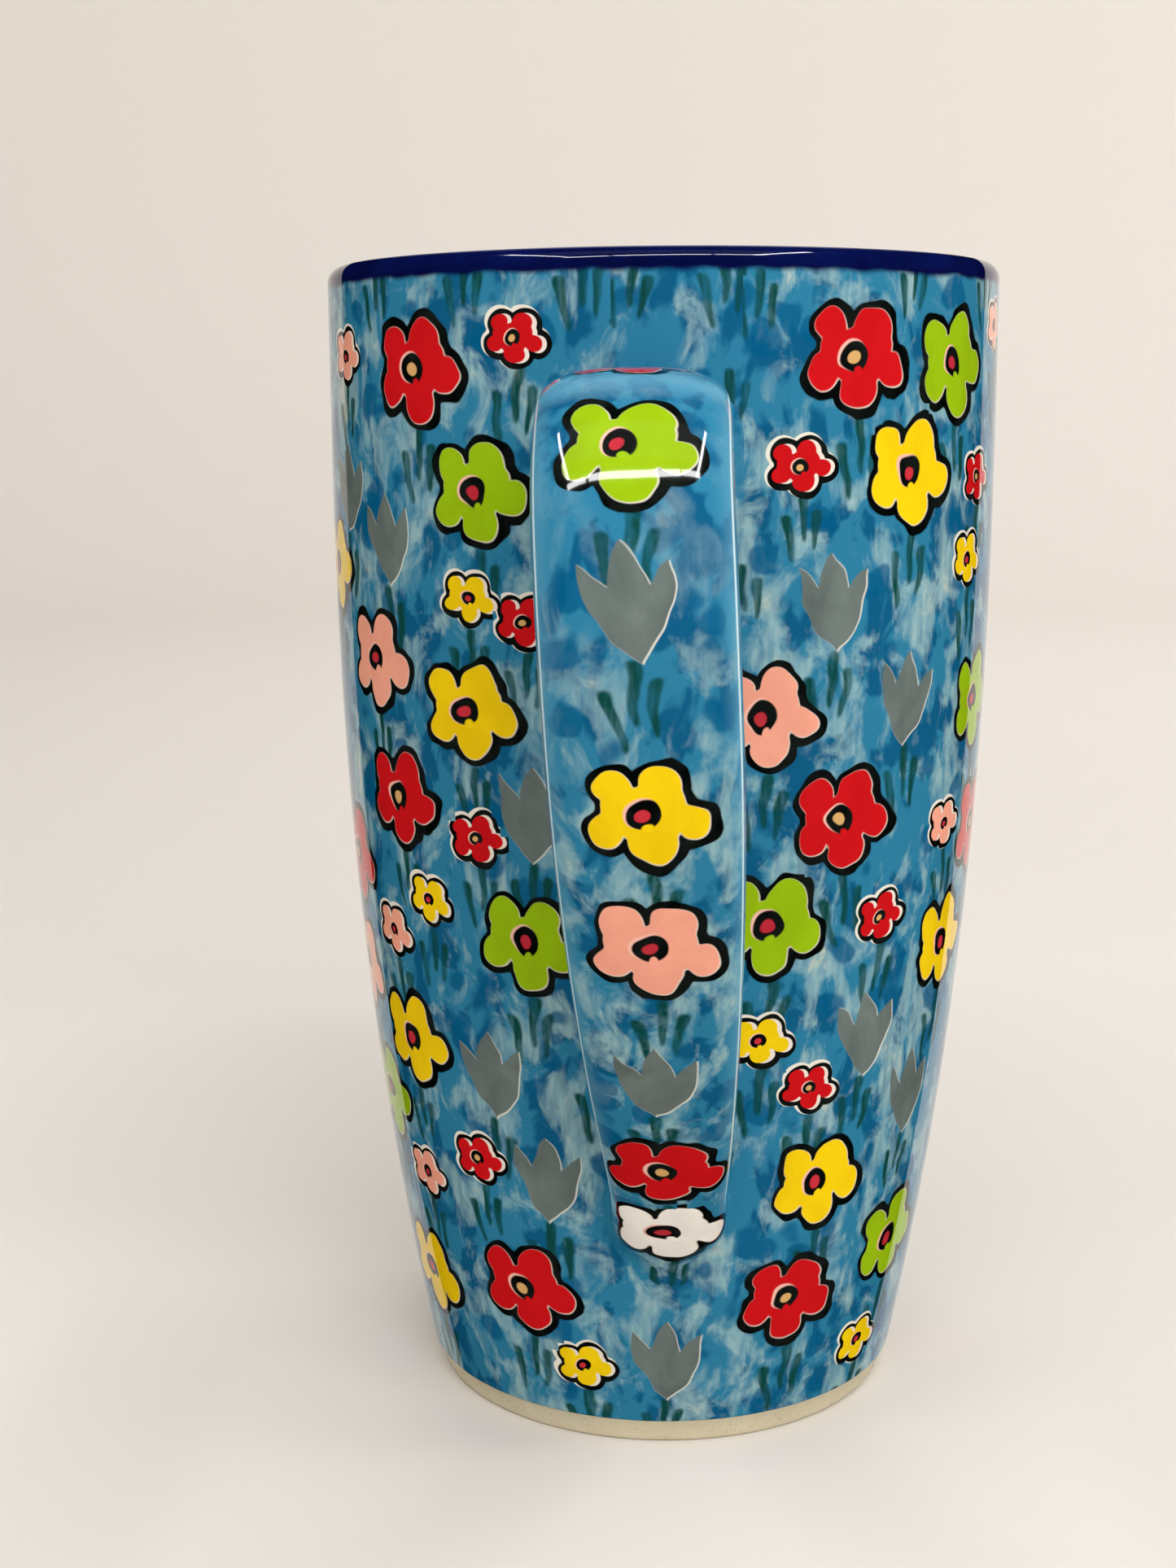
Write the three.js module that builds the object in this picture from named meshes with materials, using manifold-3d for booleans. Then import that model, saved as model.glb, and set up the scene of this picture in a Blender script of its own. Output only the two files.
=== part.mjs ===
// Tall stoneware latte mug with a tapering strap handle, in millimetres, +Z up.
//
// The mug is modelled in the layers that a pottery makes it in: a cast clay cup and a pulled clay
// handle, two fillets of slip that stick the handle on, and the coats of glaze that cover them.
// The cup stands on Z = 0. Its axis is moved along +Y, so that the origin is the middle of the
// mug's footprint, and the handle points along -Y.

import * as THREE from "three";
import { mergeVertices } from "three/addons/utils/BufferGeometryUtils.js";
import Module from "manifold-3d";

// Cup: outside of the glaze.
const HEIGHT = 149.5;
const BODY_RADIUS = 43.6;
const FOOT_TAPER = 12.0; // how much narrower the wall would be at Z = 0 than near the rim
const TAPER_TOP = 130.0; // height above which the wall is upright
const TAPER_POWER = 2.3;
const WALL_AT_RIM = 3.9;
const WALL_AT_FLOOR = 5.4;
const FLOOR_TOP = 8.0;
const FLOOR_FILLET = 12.0;
const GLAZE = 0.35;
const GLAZE_LINE = 3.4; // bare clay below this height
const RIM_BAND = 2.7; // depth of the cobalt band, outside and inside

// Foot ring: bare clay.
const FOOT_RADIUS = 30.9;
const FOOT_CORNER = 0.5;
const FOOT_INNER_RADIUS = 26.6;
const RECESS_RADIUS = 26.0;
const RECESS_DEPTH = 2.4;

// Handle: a strap with an oval section on a curve. Reach is measured from the cup's axis. The
// first and last points lie inside the wall, where the strap is cut off.
const HANDLE_PATH = [
  { reach: 34.0, z: 123.6 },
  { reach: 46.0, z: 127.6 },
  { reach: 57.0, z: 131.0 },
  { reach: 66.0, z: 129.6 },
  { reach: 72.8, z: 123.2 },
  { reach: 75.8, z: 112.5 },
  { reach: 74.0, z: 97.0 },
  { reach: 68.0, z: 79.0 },
  { reach: 59.0, z: 60.5 },
  { reach: 48.0, z: 45.0 },
  { reach: 28.5, z: 22.0 },
];
// The handle is stuck on by hand and leans: its top sits to the -X side and its foot to +X.
const LEAN = { lowZ: 36.0, lowX: 1.2, highZ: 122.0, highX: -2.9 };
const STRAP_WIDTH = 19.7;
const STRAP_WIDTH_LOW = 13.4;
const STRAP_THICKNESS = 8.8;
const STRAP_THICKNESS_LOW = 7.4;
const STRAP_TAPER_FROM = 100.0; // the strap narrows between these two heights
const STRAP_TAPER_TO = 40.0;
const ROOT_EXTRA = 4.0; // how much thicker the strap is where it leaves the wall at the top
const ROOT_REACH = 60.0; // and the reach at which it is down to its usual thickness
const STRAP_SQUARENESS = 2.8; // 2 is an ellipse, more is squarer
const UPPER_FILLET = 2.8; // radius of the slip in the corner between strap and wall
const LOWER_FILLET = 1.9;
const GAP = 0.3; // between the handle's clay and the cup's, where one cuts the other

const AXIS_Y = 18.44; // half of what the handle stands out past the wall
const TURN_SEGMENTS = 40;
const STRAP_SIDES = 16;
const STRAP_STATIONS = 14;

const stoneware = new THREE.MeshStandardMaterial({ color: 0xcbc0a8, roughness: 0.85, metalness: 0 });
const slipClay = new THREE.MeshStandardMaterial({ color: 0xc4b89c, roughness: 0.85, metalness: 0 });
const paintedGlaze = new THREE.MeshStandardMaterial({ color: 0x4a88b4, roughness: 0.12, metalness: 0 });
const cobaltGlaze = new THREE.MeshStandardMaterial({ color: 0x1a1c6e, roughness: 0.12, metalness: 0 });
const linerGlaze = new THREE.MeshStandardMaterial({ color: 0xe9e3d6, roughness: 0.12, metalness: 0 });
const baseGlaze = new THREE.MeshStandardMaterial({ color: 0xdcd2bc, roughness: 0.2, metalness: 0 });

const wasm = await Module();
wasm.setup();

// ---- outlines of the cup ------------------------------------------------------------------

// Radius of the glazed wall at a height.
function outsideRadius(z) {
  const below = Math.max(0, 1 - z / TAPER_TOP);
  return BODY_RADIUS - FOOT_TAPER * below ** TAPER_POWER;
}

function wallThickness(z) {
  return THREE.MathUtils.lerp(WALL_AT_FLOOR, WALL_AT_RIM, z / HEIGHT);
}

function insideRadius(z) {
  return outsideRadius(z) - wallThickness(z);
}

// The glazed surface from the glaze line up the outside, over the lip and down to the floor's
// middle, as three outlines that meet: outside, rim band and inside.
function glazedOutlines() {
  const bandBottom = HEIGHT - RIM_BAND;
  const outside = [];
  const outsideSteps = 11;
  for (let i = 0; i <= outsideSteps; i += 1) {
    const z = THREE.MathUtils.lerp(GLAZE_LINE, bandBottom, i / outsideSteps);
    outside.push(new THREE.Vector2(outsideRadius(z), z));
  }

  const lipRadius = WALL_AT_RIM / 2;
  const lipCentre = new THREE.Vector2(BODY_RADIUS - lipRadius, HEIGHT - lipRadius);
  const band = [outside.at(-1).clone()];
  const lipSteps = 8;
  for (let i = 0; i <= lipSteps; i += 1) {
    const angle = (Math.PI * i) / lipSteps;
    const spoke = new THREE.Vector2(Math.cos(angle), Math.sin(angle)).multiplyScalar(lipRadius);
    band.push(spoke.add(lipCentre));
  }
  band.push(new THREE.Vector2(insideRadius(bandBottom), bandBottom));

  const filletTop = FLOOR_TOP + FLOOR_FILLET;
  const inside = [];
  const insideSteps = 8;
  for (let i = 0; i <= insideSteps; i += 1) {
    const z = THREE.MathUtils.lerp(bandBottom, filletTop, i / insideSteps);
    inside.push(new THREE.Vector2(insideRadius(z), z));
  }
  const filletSteps = 5;
  const filletCentre = insideRadius(filletTop) - FLOOR_FILLET;
  for (let i = 1; i <= filletSteps; i += 1) {
    const angle = (Math.PI / 2) * (i / filletSteps);
    const r = filletCentre + FLOOR_FILLET * Math.cos(angle);
    inside.push(new THREE.Vector2(r, filletTop - FLOOR_FILLET * Math.sin(angle)));
  }
  inside.push(new THREE.Vector2(0, FLOOR_TOP));
  return { outside, band, inside };
}

// Moves each point of an open outline by a distance to the right of its direction. The ends move
// square to the axis they end on.
function shiftOutline(points, distance) {
  return points.map((point, i) => {
    const before = points[Math.max(0, i - 1)];
    const after = points[Math.min(points.length - 1, i + 1)];
    const along = after.clone().sub(before).normalize();
    const right = new THREE.Vector2(along.y, -along.x);
    const shifted = point.clone().addScaledVector(right, distance);
    if (point.x === 0) {
      shifted.x = 0;
    }
    return shifted;
  });
}

// The glaze surface and the clay under it, as outlines with the same number of points.
function layerOutlines() {
  const { outside, band, inside } = glazedOutlines();
  const whole = [...outside, ...band.slice(1), ...inside.slice(1)];
  const clay = shiftOutline(whole, -GLAZE);
  const bandStart = outside.length - 1;
  const bandEnd = bandStart + band.length - 1;
  return { whole, clay, bandStart, bandEnd };
}

// A solid of revolution from a closed outline in the radius-height plane.
function revolve(outline) {
  const geometry = new THREE.LatheGeometry(outline, TURN_SEGMENTS);
  geometry.rotateX(Math.PI / 2);
  return geometry;
}

// One coat of glaze: the stretch of the two outlines between two of their points.
function coat(layers, from, to) {
  const surface = layers.whole.slice(from, to + 1);
  const underside = layers.clay.slice(from, to + 1).reverse();
  const outline = [...surface, ...underside];
  if (surface.at(-1).x > 0) {
    outline.push(surface[0].clone());
    return revolve(outline);
  }
  // A coat that reaches the axis starts and ends on it.
  return revolve([...underside, ...surface]);
}

function makeClayCup(layers) {
  const foot = [
    new THREE.Vector2(0, RECESS_DEPTH),
    new THREE.Vector2(RECESS_RADIUS, RECESS_DEPTH),
    new THREE.Vector2(FOOT_INNER_RADIUS, FOOT_CORNER),
    new THREE.Vector2(FOOT_INNER_RADIUS + FOOT_CORNER, 0),
    new THREE.Vector2(FOOT_RADIUS - FOOT_CORNER, 0),
    new THREE.Vector2(FOOT_RADIUS, FOOT_CORNER),
  ];
  return revolve([...foot, ...layers.clay]);
}

// The glaze in the recess under the floor: a thin disc.
function makeBaseGlaze() {
  const edge = RECESS_RADIUS - GLAZE;
  const outline = [
    new THREE.Vector2(0, RECESS_DEPTH - GLAZE),
    new THREE.Vector2(edge - GLAZE, RECESS_DEPTH - GLAZE),
    new THREE.Vector2(edge, RECESS_DEPTH),
    new THREE.Vector2(0, RECESS_DEPTH),
  ];
  return revolve(outline);
}

// ---- handle -------------------------------------------------------------------------------

function leanX(z) {
  const height = (z - LEAN.lowZ) / (LEAN.highZ - LEAN.lowZ);
  return THREE.MathUtils.lerp(LEAN.lowX, LEAN.highX, THREE.MathUtils.clamp(height, 0, 1));
}

const handleCurve = new THREE.CatmullRomCurve3(
  HANDLE_PATH.map((point) => new THREE.Vector3(leanX(point.z), -point.reach, point.z)),
  false,
  "centripetal",
);

// 0 at the bottom of the strap's taper and 1 at its top.
function strapFullness(z) {
  const height = (z - STRAP_TAPER_TO) / (STRAP_TAPER_FROM - STRAP_TAPER_TO);
  return Math.sin((Math.PI / 2) * THREE.MathUtils.clamp(height, 0, 1));
}

// What the thickened upper root adds to the strap.
function rootThickening(centre) {
  const wallReach = outsideRadius(centre.z);
  const nearness = (ROOT_REACH + centre.y) / (ROOT_REACH - wallReach);
  const isUpperHalf = centre.z > (STRAP_TAPER_FROM + STRAP_TAPER_TO) / 2;
  return isUpperHalf ? ROOT_EXTRA * THREE.MathUtils.clamp(nearness, 0, 1) ** 1.5 : 0;
}

// A rounded rectangle's coordinate from a cosine or a sine.
function squared(value) {
  return Math.sign(value) * Math.abs(value) ** (2 / STRAP_SQUARENESS);
}

// A point on the strap: "along" runs 0 to 1 on the curve and "angle" goes round the section,
// which is "grow" larger all round than the clay. Gives the point and its way out.
function strapPoint(along, angle, grow) {
  const centre = handleCurve.getPoint(along);
  const forward = handleCurve.getTangent(along);
  const outward = new THREE.Vector3(0, -forward.z, forward.y).normalize();
  const full = strapFullness(centre.z);
  const halfWidth = THREE.MathUtils.lerp(STRAP_WIDTH_LOW, STRAP_WIDTH, full) / 2 + grow;
  const thickness = THREE.MathUtils.lerp(STRAP_THICKNESS_LOW, STRAP_THICKNESS, full);
  const halfThick = (thickness + rootThickening(centre)) / 2 + grow;
  const across = squared(Math.cos(angle));
  const over = squared(Math.sin(angle));
  const point = centre.clone();
  point.x += halfWidth * across;
  point.addScaledVector(outward, halfThick * over);
  const wayOut = new THREE.Vector3(Math.cos(angle), 0, 0).addScaledVector(outward, Math.sin(angle));
  return { point, wayOut };
}

// How far a point stands off the cup's clay.
function standOff(point) {
  return Math.hypot(point.x, point.y) - (outsideRadius(point.z) - GLAZE);
}

// Where along the curve one line of the strap stands off the clay by a distance, searched from
// inside the wall towards the strap's middle.
function whereStandOff(angle, grow, distance, fromEnd) {
  let low = fromEnd;
  let high = 0.5;
  for (let i = 0; i < 40; i += 1) {
    const middle = (low + high) / 2;
    if (standOff(strapPoint(middle, angle, grow).point) < distance) {
      low = middle;
    } else {
      high = middle;
    }
  }
  return high;
}

// Spreads a point along the wall by the height of a round fillet at its distance from the wall.
function flare({ point, wayOut }, foot, fillet) {
  const height = Math.max(0, standOff(point) - foot);
  if (height >= fillet) {
    return point;
  }
  const spread = fillet - Math.sqrt(fillet ** 2 - (fillet - height) ** 2);
  const wallNormal = new THREE.Vector3(point.x, point.y, 0).normalize();
  const sideways = wayOut.clone().projectOnPlane(wallNormal).normalize();
  const spreadPoint = point.clone().addScaledVector(sideways, spread);
  // Keep the same distance from the round wall as before.
  const wanted = standOff(point) + outsideRadius(spreadPoint.z) - GLAZE;
  const scale = wanted / Math.hypot(spreadPoint.x, spreadPoint.y);
  spreadPoint.x *= scale;
  spreadPoint.y *= scale;
  return spreadPoint;
}

const FILLET_STATIONS = [0, 0.12, 0.4, 1]; // heights on the fillet, as parts of its radius

// Rings of points along the strap from the upper joint to the lower one. The strap is "grow"
// larger all round than its clay, and is spread onto the wall by the fillets if it is flared.
function strapRings({ grow, flared }) {
  const foot = GAP + grow;
  const upperFillet = UPPER_FILLET - grow;
  const lowerFillet = LOWER_FILLET - grow;
  const rings = [];
  const total = 2 * FILLET_STATIONS.length + STRAP_STATIONS;
  for (let i = 0; i < total; i += 1) {
    rings.push([]);
  }
  for (let side = 0; side < STRAP_SIDES; side += 1) {
    const angle = (-2 * Math.PI * side) / STRAP_SIDES;
    const stationsOf = (fillet, fromEnd) => FILLET_STATIONS.map(
      (part) => whereStandOff(angle, grow, foot + part * fillet, fromEnd),
    );
    const upper = stationsOf(upperFillet, 0);
    const lower = stationsOf(lowerFillet, 1);
    const places = [...upper];
    for (let i = 1; i <= STRAP_STATIONS; i += 1) {
      places.push(THREE.MathUtils.lerp(upper.at(-1), lower.at(-1), i / (STRAP_STATIONS + 1)));
    }
    places.push(...lower.reverse());
    places.forEach((along, i) => {
      const place = strapPoint(along, angle, grow);
      const fillet = i < total / 2 ? upperFillet : lowerFillet;
      rings[i].push(flared ? flare(place, foot, fillet) : place.point);
    });
  }
  return rings;
}

// Triangles over closed rings of points. Alone, the rings make a solid with two capped ends. With
// as many "inside" rings they make a hollow sleeve, which is closed between the first rings and
// between the last ones, unless those already meet.
function skinRings(rings, inside = null) {
  const sides = rings[0].length;
  const last = rings.length - 1;
  const points = [...rings.flat(), ...(inside ?? []).flat()];
  const indices = [];

  // Quads between two rings that start at the points "from" and "to". Turned over, they face the
  // other way with the same diagonals, so that a surface that two solids share is the same in both.
  function strip(from, to, turnedOver) {
    for (let side = 0; side < sides; side += 1) {
      const next = (side + 1) % sides;
      const triangles = [
        [from + side, from + next, to + side],
        [from + next, to + next, to + side],
      ];
      triangles.forEach((triangle) => {
        indices.push(...(turnedOver ? triangle.reverse() : triangle));
      });
    }
  }

  for (let i = 0; i < last; i += 1) {
    strip(i * sides, (i + 1) * sides, false);
  }
  if (inside) {
    const insideStart = rings.length * sides;
    for (let i = 0; i < last; i += 1) {
      strip(insideStart + i * sides, insideStart + (i + 1) * sides, true);
    }
    [0, last].forEach((i) => {
      if (rings[i][0].distanceTo(inside[i][0]) > 0) {
        strip(i * sides, insideStart + i * sides, i === 0);
      }
    });
  } else {
    [0, last].forEach((i) => {
      const centreIndex = points.length;
      points.push(capCentre(rings[i]));
      for (let side = 0; side < sides; side += 1) {
        const edge = [i * sides + side, i * sides + ((side + 1) % sides)];
        indices.push(...(i === 0 ? edge.reverse() : edge), centreIndex);
      }
    });
  }

  const geometry = new THREE.BufferGeometry();
  geometry.setFromPoints(points);
  geometry.setIndex(indices);
  return geometry;
}

// The middle of an end that follows the round wall: as far off it as the end's edge is.
function capCentre(ring) {
  const centre = new THREE.Vector3();
  ring.forEach((point) => centre.add(point));
  centre.divideScalar(ring.length);
  const edge = standOff(ring[0]);
  const wanted = outsideRadius(centre.z) - GLAZE + edge;
  const scale = wanted / Math.hypot(centre.x, centre.y);
  centre.x *= scale;
  centre.y *= scale;
  return centre;
}

// The slip fillet at one end fills the corner between the bare strap and its flared surface.
function makeSlipJoint(bare, flared, atTop) {
  const count = FILLET_STATIONS.length;
  const pick = (rings) => (atTop ? rings.slice(0, count) : rings.slice(-count));
  const outer = pick(flared);
  const inner = pick(bare);
  return skinRings(outer, inner);
}

// ---- booleans -----------------------------------------------------------------------------

function toSolid(geometry) {
  const bare = geometry.clone();
  bare.deleteAttribute("normal");
  bare.deleteAttribute("uv");
  const merged = mergeVertices(bare, 1e-4);
  return new wasm.Manifold(new wasm.Mesh({
    numProp: 3,
    vertProperties: new Float32Array(merged.attributes.position.array),
    triVerts: new Uint32Array(merged.index.array),
  }));
}

function toGeometry(solid) {
  const mesh = solid.getMesh();
  const geometry = new THREE.BufferGeometry();
  geometry.setAttribute("position", new THREE.BufferAttribute(mesh.vertProperties, 3));
  geometry.setIndex(new THREE.BufferAttribute(mesh.triVerts, 1));
  return geometry;
}

// A plug through the wall's glaze, a gap larger all round than the handle's flared end.
function rootPlug(endRing, atTop) {
  const middle = capCentre(endRing);
  const halfLength = atTop ? 2 : -2;
  const rings = [-halfLength, halfLength].map((off) => endRing.map((point) => {
    const wallNormal = new THREE.Vector3(point.x, point.y, 0).normalize();
    const sideways = point.clone().sub(middle).projectOnPlane(wallNormal).normalize();
    return point.clone().addScaledVector(sideways, GAP).addScaledVector(wallNormal, off);
  }));
  return skinRings(rings);
}

// The painted coat, left open where the handle's clay meets the cup's.
function makeOuterGlaze(layers, handleRings) {
  let solid = toSolid(coat(layers, 0, layers.bandStart));
  solid = solid.subtract(toSolid(rootPlug(handleRings[0], true)));
  solid = solid.subtract(toSolid(rootPlug(handleRings.at(-1), false)));
  return toGeometry(solid);
}

// ---- assembly -----------------------------------------------------------------------------

const mug = new THREE.Group();
mug.position.y = AXIS_Y;

function addPiece(name, geometry, material) {
  const mesh = new THREE.Mesh(geometry, material);
  mesh.name = name;
  mug.add(mesh);
}

const layers = layerOutlines();
const bareStrap = strapRings({ grow: 0, flared: false });
const flaredStrap = strapRings({ grow: 0, flared: true });
const glazedStrap = strapRings({ grow: GLAZE, flared: true });

addPiece("clay_cup", makeClayCup(layers), stoneware);
addPiece("outer_glaze", makeOuterGlaze(layers, glazedStrap), paintedGlaze);
addPiece("rim_glaze", coat(layers, layers.bandStart, layers.bandEnd), cobaltGlaze);
addPiece("liner_glaze", coat(layers, layers.bandEnd, layers.whole.length - 1), linerGlaze);
addPiece("base_glaze", makeBaseGlaze(), baseGlaze);
addPiece("clay_handle", skinRings(bareStrap), stoneware);
addPiece("handle_glaze", skinRings(glazedStrap, flaredStrap), paintedGlaze);
addPiece("upper_slip_joint", makeSlipJoint(bareStrap, flaredStrap, true), slipClay);
addPiece("lower_slip_joint", makeSlipJoint(bareStrap, flaredStrap, false), slipClay);

export default mug;
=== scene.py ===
# %% [markdown]
# # A flower-painted stoneware mug
#
# The real mug is a cast clay cup with a pulled strap handle that is stuck on with slip, which is
# liquid clay. It is painted with flowers on a brushed blue ground and covered with a clear, glossy
# glaze. Only the foot ring is left bare. Each layer is a piece of its own here, as in the packed
# model, so that any of them can be repainted or measured alone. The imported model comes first: its
# nodes give the sizes, and they stay where they are.

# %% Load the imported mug
import math

import bpy
import numpy as np
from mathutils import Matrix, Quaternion, Vector


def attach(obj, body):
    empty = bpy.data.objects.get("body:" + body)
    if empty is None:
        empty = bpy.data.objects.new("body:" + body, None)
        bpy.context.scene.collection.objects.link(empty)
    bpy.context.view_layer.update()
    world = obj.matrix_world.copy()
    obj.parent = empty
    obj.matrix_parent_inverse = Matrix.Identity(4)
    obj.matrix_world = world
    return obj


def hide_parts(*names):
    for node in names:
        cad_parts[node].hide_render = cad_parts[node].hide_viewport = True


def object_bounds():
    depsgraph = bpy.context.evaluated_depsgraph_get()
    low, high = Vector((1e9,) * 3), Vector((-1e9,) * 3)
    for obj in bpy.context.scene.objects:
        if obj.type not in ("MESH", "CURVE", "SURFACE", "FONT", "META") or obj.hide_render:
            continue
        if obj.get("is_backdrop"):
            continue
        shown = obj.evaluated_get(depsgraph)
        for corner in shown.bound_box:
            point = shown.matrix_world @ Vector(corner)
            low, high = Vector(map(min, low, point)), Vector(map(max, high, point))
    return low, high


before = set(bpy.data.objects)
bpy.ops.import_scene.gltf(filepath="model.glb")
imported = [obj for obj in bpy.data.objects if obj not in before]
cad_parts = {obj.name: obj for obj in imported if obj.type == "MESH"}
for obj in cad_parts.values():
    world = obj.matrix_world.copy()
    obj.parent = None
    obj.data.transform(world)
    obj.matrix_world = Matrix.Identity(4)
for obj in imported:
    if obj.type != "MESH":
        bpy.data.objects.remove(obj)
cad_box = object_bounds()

print("packed nodes:", ", ".join(sorted(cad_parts)))

# %% [markdown]
# ## Sizes
#
# The mug is designed in millimetres and Blender works in metres, so the sizes are kept in
# millimetres and turned into metres where a mesh is made. The wall's outline is one formula: an
# upright wall that draws in faster and faster towards the foot.

# %% The cup's sizes and its outline
MM = 0.001
AXIS_Y = 18.44  # the cup's axis is this far from the middle of the footprint
HEIGHT = 149.5
BODY_RADIUS = 43.6
FOOT_TAPER = 12.0
TAPER_TOP = 130.0
TAPER_POWER = 2.3
WALL_AT_RIM = 3.9
WALL_AT_FLOOR = 5.4
GLAZE = 0.35
GLAZE_LINE = 3.4
BAND_BOTTOM = HEIGHT - 2.2
LIP_RADIUS = WALL_AT_RIM / 2
LIP_MIDDLE = HEIGHT - LIP_RADIUS
FLOOR_TOP = 8.0
FLOOR_FILLET = 12.0


def outside_radius(z):
    return BODY_RADIUS - FOOT_TAPER * np.maximum(0, 1 - z / TAPER_TOP) ** TAPER_POWER


def inside_radius(z):
    return outside_radius(z) - (WALL_AT_FLOOR + (WALL_AT_RIM - WALL_AT_FLOOR) * z / HEIGHT)


radii = [round(float(outside_radius(z)), 2) for z in (0, 75, 149)]
print("wall radius at the foot, middle and rim:", radii, "mm")

# %% [markdown]
# ## Camera
#
# The camera looks at the handle from a little above the middle of the cup and slightly down. The
# lens is close to a normal one and stands near the mug, so the foot looks narrower than the rim.

# %% The camera
CAMERA_AWAY = 284.5  # from the cup's axis
CAMERA_HEIGHT = 131.8
camera_data = bpy.data.cameras.new("camera")
camera_data.lens = 48.4
camera_data.sensor_width = 36
camera_data.clip_start = 0.01
camera = bpy.data.objects.new("camera", camera_data)
bpy.context.scene.collection.objects.link(camera)
bpy.context.scene.camera = camera
camera.location = (0, (AXIS_Y - CAMERA_AWAY) * MM, CAMERA_HEIGHT * MM)
yaw = math.radians(-2.02)
pitch = math.radians(10.15)
roll = math.radians(-0.3)
looking = Vector((
    math.sin(yaw) * math.cos(pitch),
    math.cos(yaw) * math.cos(pitch),
    -math.sin(pitch),
))
camera.rotation_mode = "QUATERNION"
camera.rotation_quaternion = looking.to_track_quat("-Z", "Y") @ Quaternion((0, 0, 1), roll)
print("camera at", [round(c, 3) for c in camera.location])

# %% [markdown]
# ## Turning a layer on the wheel
#
# A cup is round, so each of its layers is turned. A plane is merged down to one vertex, the vertex
# is extruded along the layer's outline in the radius-height plane, and the outline is spun once
# round the cup's axis. Merging the doubles closes the seam and the poles. The normals are then
# recalculated, because a spin can turn a surface inside out.

# %% Turn an outline round the cup's axis
TURN_STEPS = 240


def arc(middle, radius, start, end, steps):
    """Points on a round corner, from one angle to another in degrees."""
    angles = np.radians(np.linspace(start, end, steps + 1))
    return [(middle[0] + radius * math.cos(a), middle[1] + radius * math.sin(a)) for a in angles]


def wall_line(radius_at, heights, off=0):
    """Points up or down the wall, at a distance from its surface."""
    return [(float(radius_at(z)) + off, z) for z in heights]


def turned(name, outline):
    bpy.ops.object.select_all(action="DESELECT")
    bpy.ops.mesh.primitive_plane_add(size=MM, calc_uvs=False)
    piece = bpy.context.object
    piece.name = name
    bpy.ops.object.mode_set(mode="EDIT")
    bpy.ops.mesh.merge(type="CENTER")
    bpy.ops.mesh.select_all(action="SELECT")
    radius, z = outline[0]
    bpy.ops.transform.translate(value=(radius * MM, AXIS_Y * MM, z * MM))
    for radius_after, z_after in outline[1:]:
        step = ((radius_after - radius) * MM, 0, (z_after - z) * MM)
        bpy.ops.mesh.extrude_vertices_move(TRANSFORM_OT_translate={"value": step})
        radius, z = radius_after, z_after
    bpy.ops.mesh.select_all(action="SELECT")
    bpy.ops.mesh.spin(
        steps=TURN_STEPS, angle=2 * math.pi, center=(0, AXIS_Y * MM, 0), axis=(0, 0, 1)
    )
    finish_mesh(piece, smooth_below=40)
    return piece


def finish_mesh(piece, smooth_below):
    bpy.ops.object.mode_set(mode="EDIT")
    bpy.ops.mesh.select_all(action="SELECT")
    bpy.ops.mesh.remove_doubles(threshold=2e-6)
    bpy.ops.mesh.normals_make_consistent(inside=False)
    bpy.ops.object.mode_set(mode="OBJECT")
    bpy.ops.object.select_all(action="DESELECT")
    piece.select_set(True)
    bpy.ops.object.shade_smooth_by_angle(angle=math.radians(smooth_below))
    mesh = piece.data
    print(piece.name, len(mesh.vertices), "vertices,", len(mesh.polygons), "faces")


# %% [markdown]
# ## The clay cup
#
# The cup is slip-cast stoneware: a wall that thickens from 4 mm at the lip to 5.4 mm at the floor,
# a round inner corner that a spoon can follow, and a foot ring that is sponged round at its edges
# and left bare, because glaze there would stick to the kiln shelf. Its outline starts on the axis
# under the floor and ends on the axis inside the cup.

# %% The clay cup and its bare foot ring
FOOT_RADIUS = 30.9
FOOT_INNER_RADIUS = 26.6
FOOT_EDGE = 0.5
RECESS_RADIUS = 26.0
RECESS_DEPTH = 2.4

lip = (BODY_RADIUS - LIP_RADIUS, LIP_MIDDLE)
fillet_top = FLOOR_TOP + FLOOR_FILLET
fillet_middle = (float(inside_radius(fillet_top)) - FLOOR_FILLET, fillet_top)
liner_heights = np.linspace(BAND_BOTTOM, fillet_top, 70)
clay_outline = [(0, RECESS_DEPTH), (RECESS_RADIUS, RECESS_DEPTH)]
clay_outline += arc((FOOT_INNER_RADIUS + FOOT_EDGE, FOOT_EDGE), FOOT_EDGE, 180, 270, 4)
clay_outline += arc((FOOT_RADIUS - FOOT_EDGE, FOOT_EDGE), FOOT_EDGE, 270, 360, 5)
clay_outline += wall_line(outside_radius, np.linspace(GLAZE_LINE, BAND_BOTTOM, 110), -GLAZE)
clay_outline += arc(lip, LIP_RADIUS - GLAZE, 0, 180, 12)
clay_outline += wall_line(inside_radius, liner_heights[:-1], GLAZE)
clay_outline += arc(fillet_middle, FLOOR_FILLET + GLAZE, 0, -90, 14)
clay_outline += [(0, FLOOR_TOP - GLAZE)]
cup_clay = turned("cup_clay", clay_outline)

# %% [markdown]
# ## The coats on the cup
#
# The glaze is a third of a millimetre thick. Each coat is a thin closed ring: its outline goes
# along the glazed surface and comes back along the clay. The painted coat stops above the foot in
# the small round bead that glaze draws itself into, where it was wiped back before the firing.

# %% The painted coat, the cobalt band, the liner and the glaze under the floor
bead = GLAZE - 0.02
bead_middle = (float(outside_radius(GLAZE_LINE + bead)) - bead, GLAZE_LINE + bead)
painted_outline = arc(bead_middle, bead, -90, 0, 5)
painted_outline += wall_line(outside_radius, np.linspace(GLAZE_LINE + 1.0, BAND_BOTTOM, 122))
painted_outline += wall_line(outside_radius, np.linspace(BAND_BOTTOM, GLAZE_LINE, 24), -GLAZE)
painted_outline += [painted_outline[0]]
painted_coat = turned("painted_coat", painted_outline)

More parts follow.
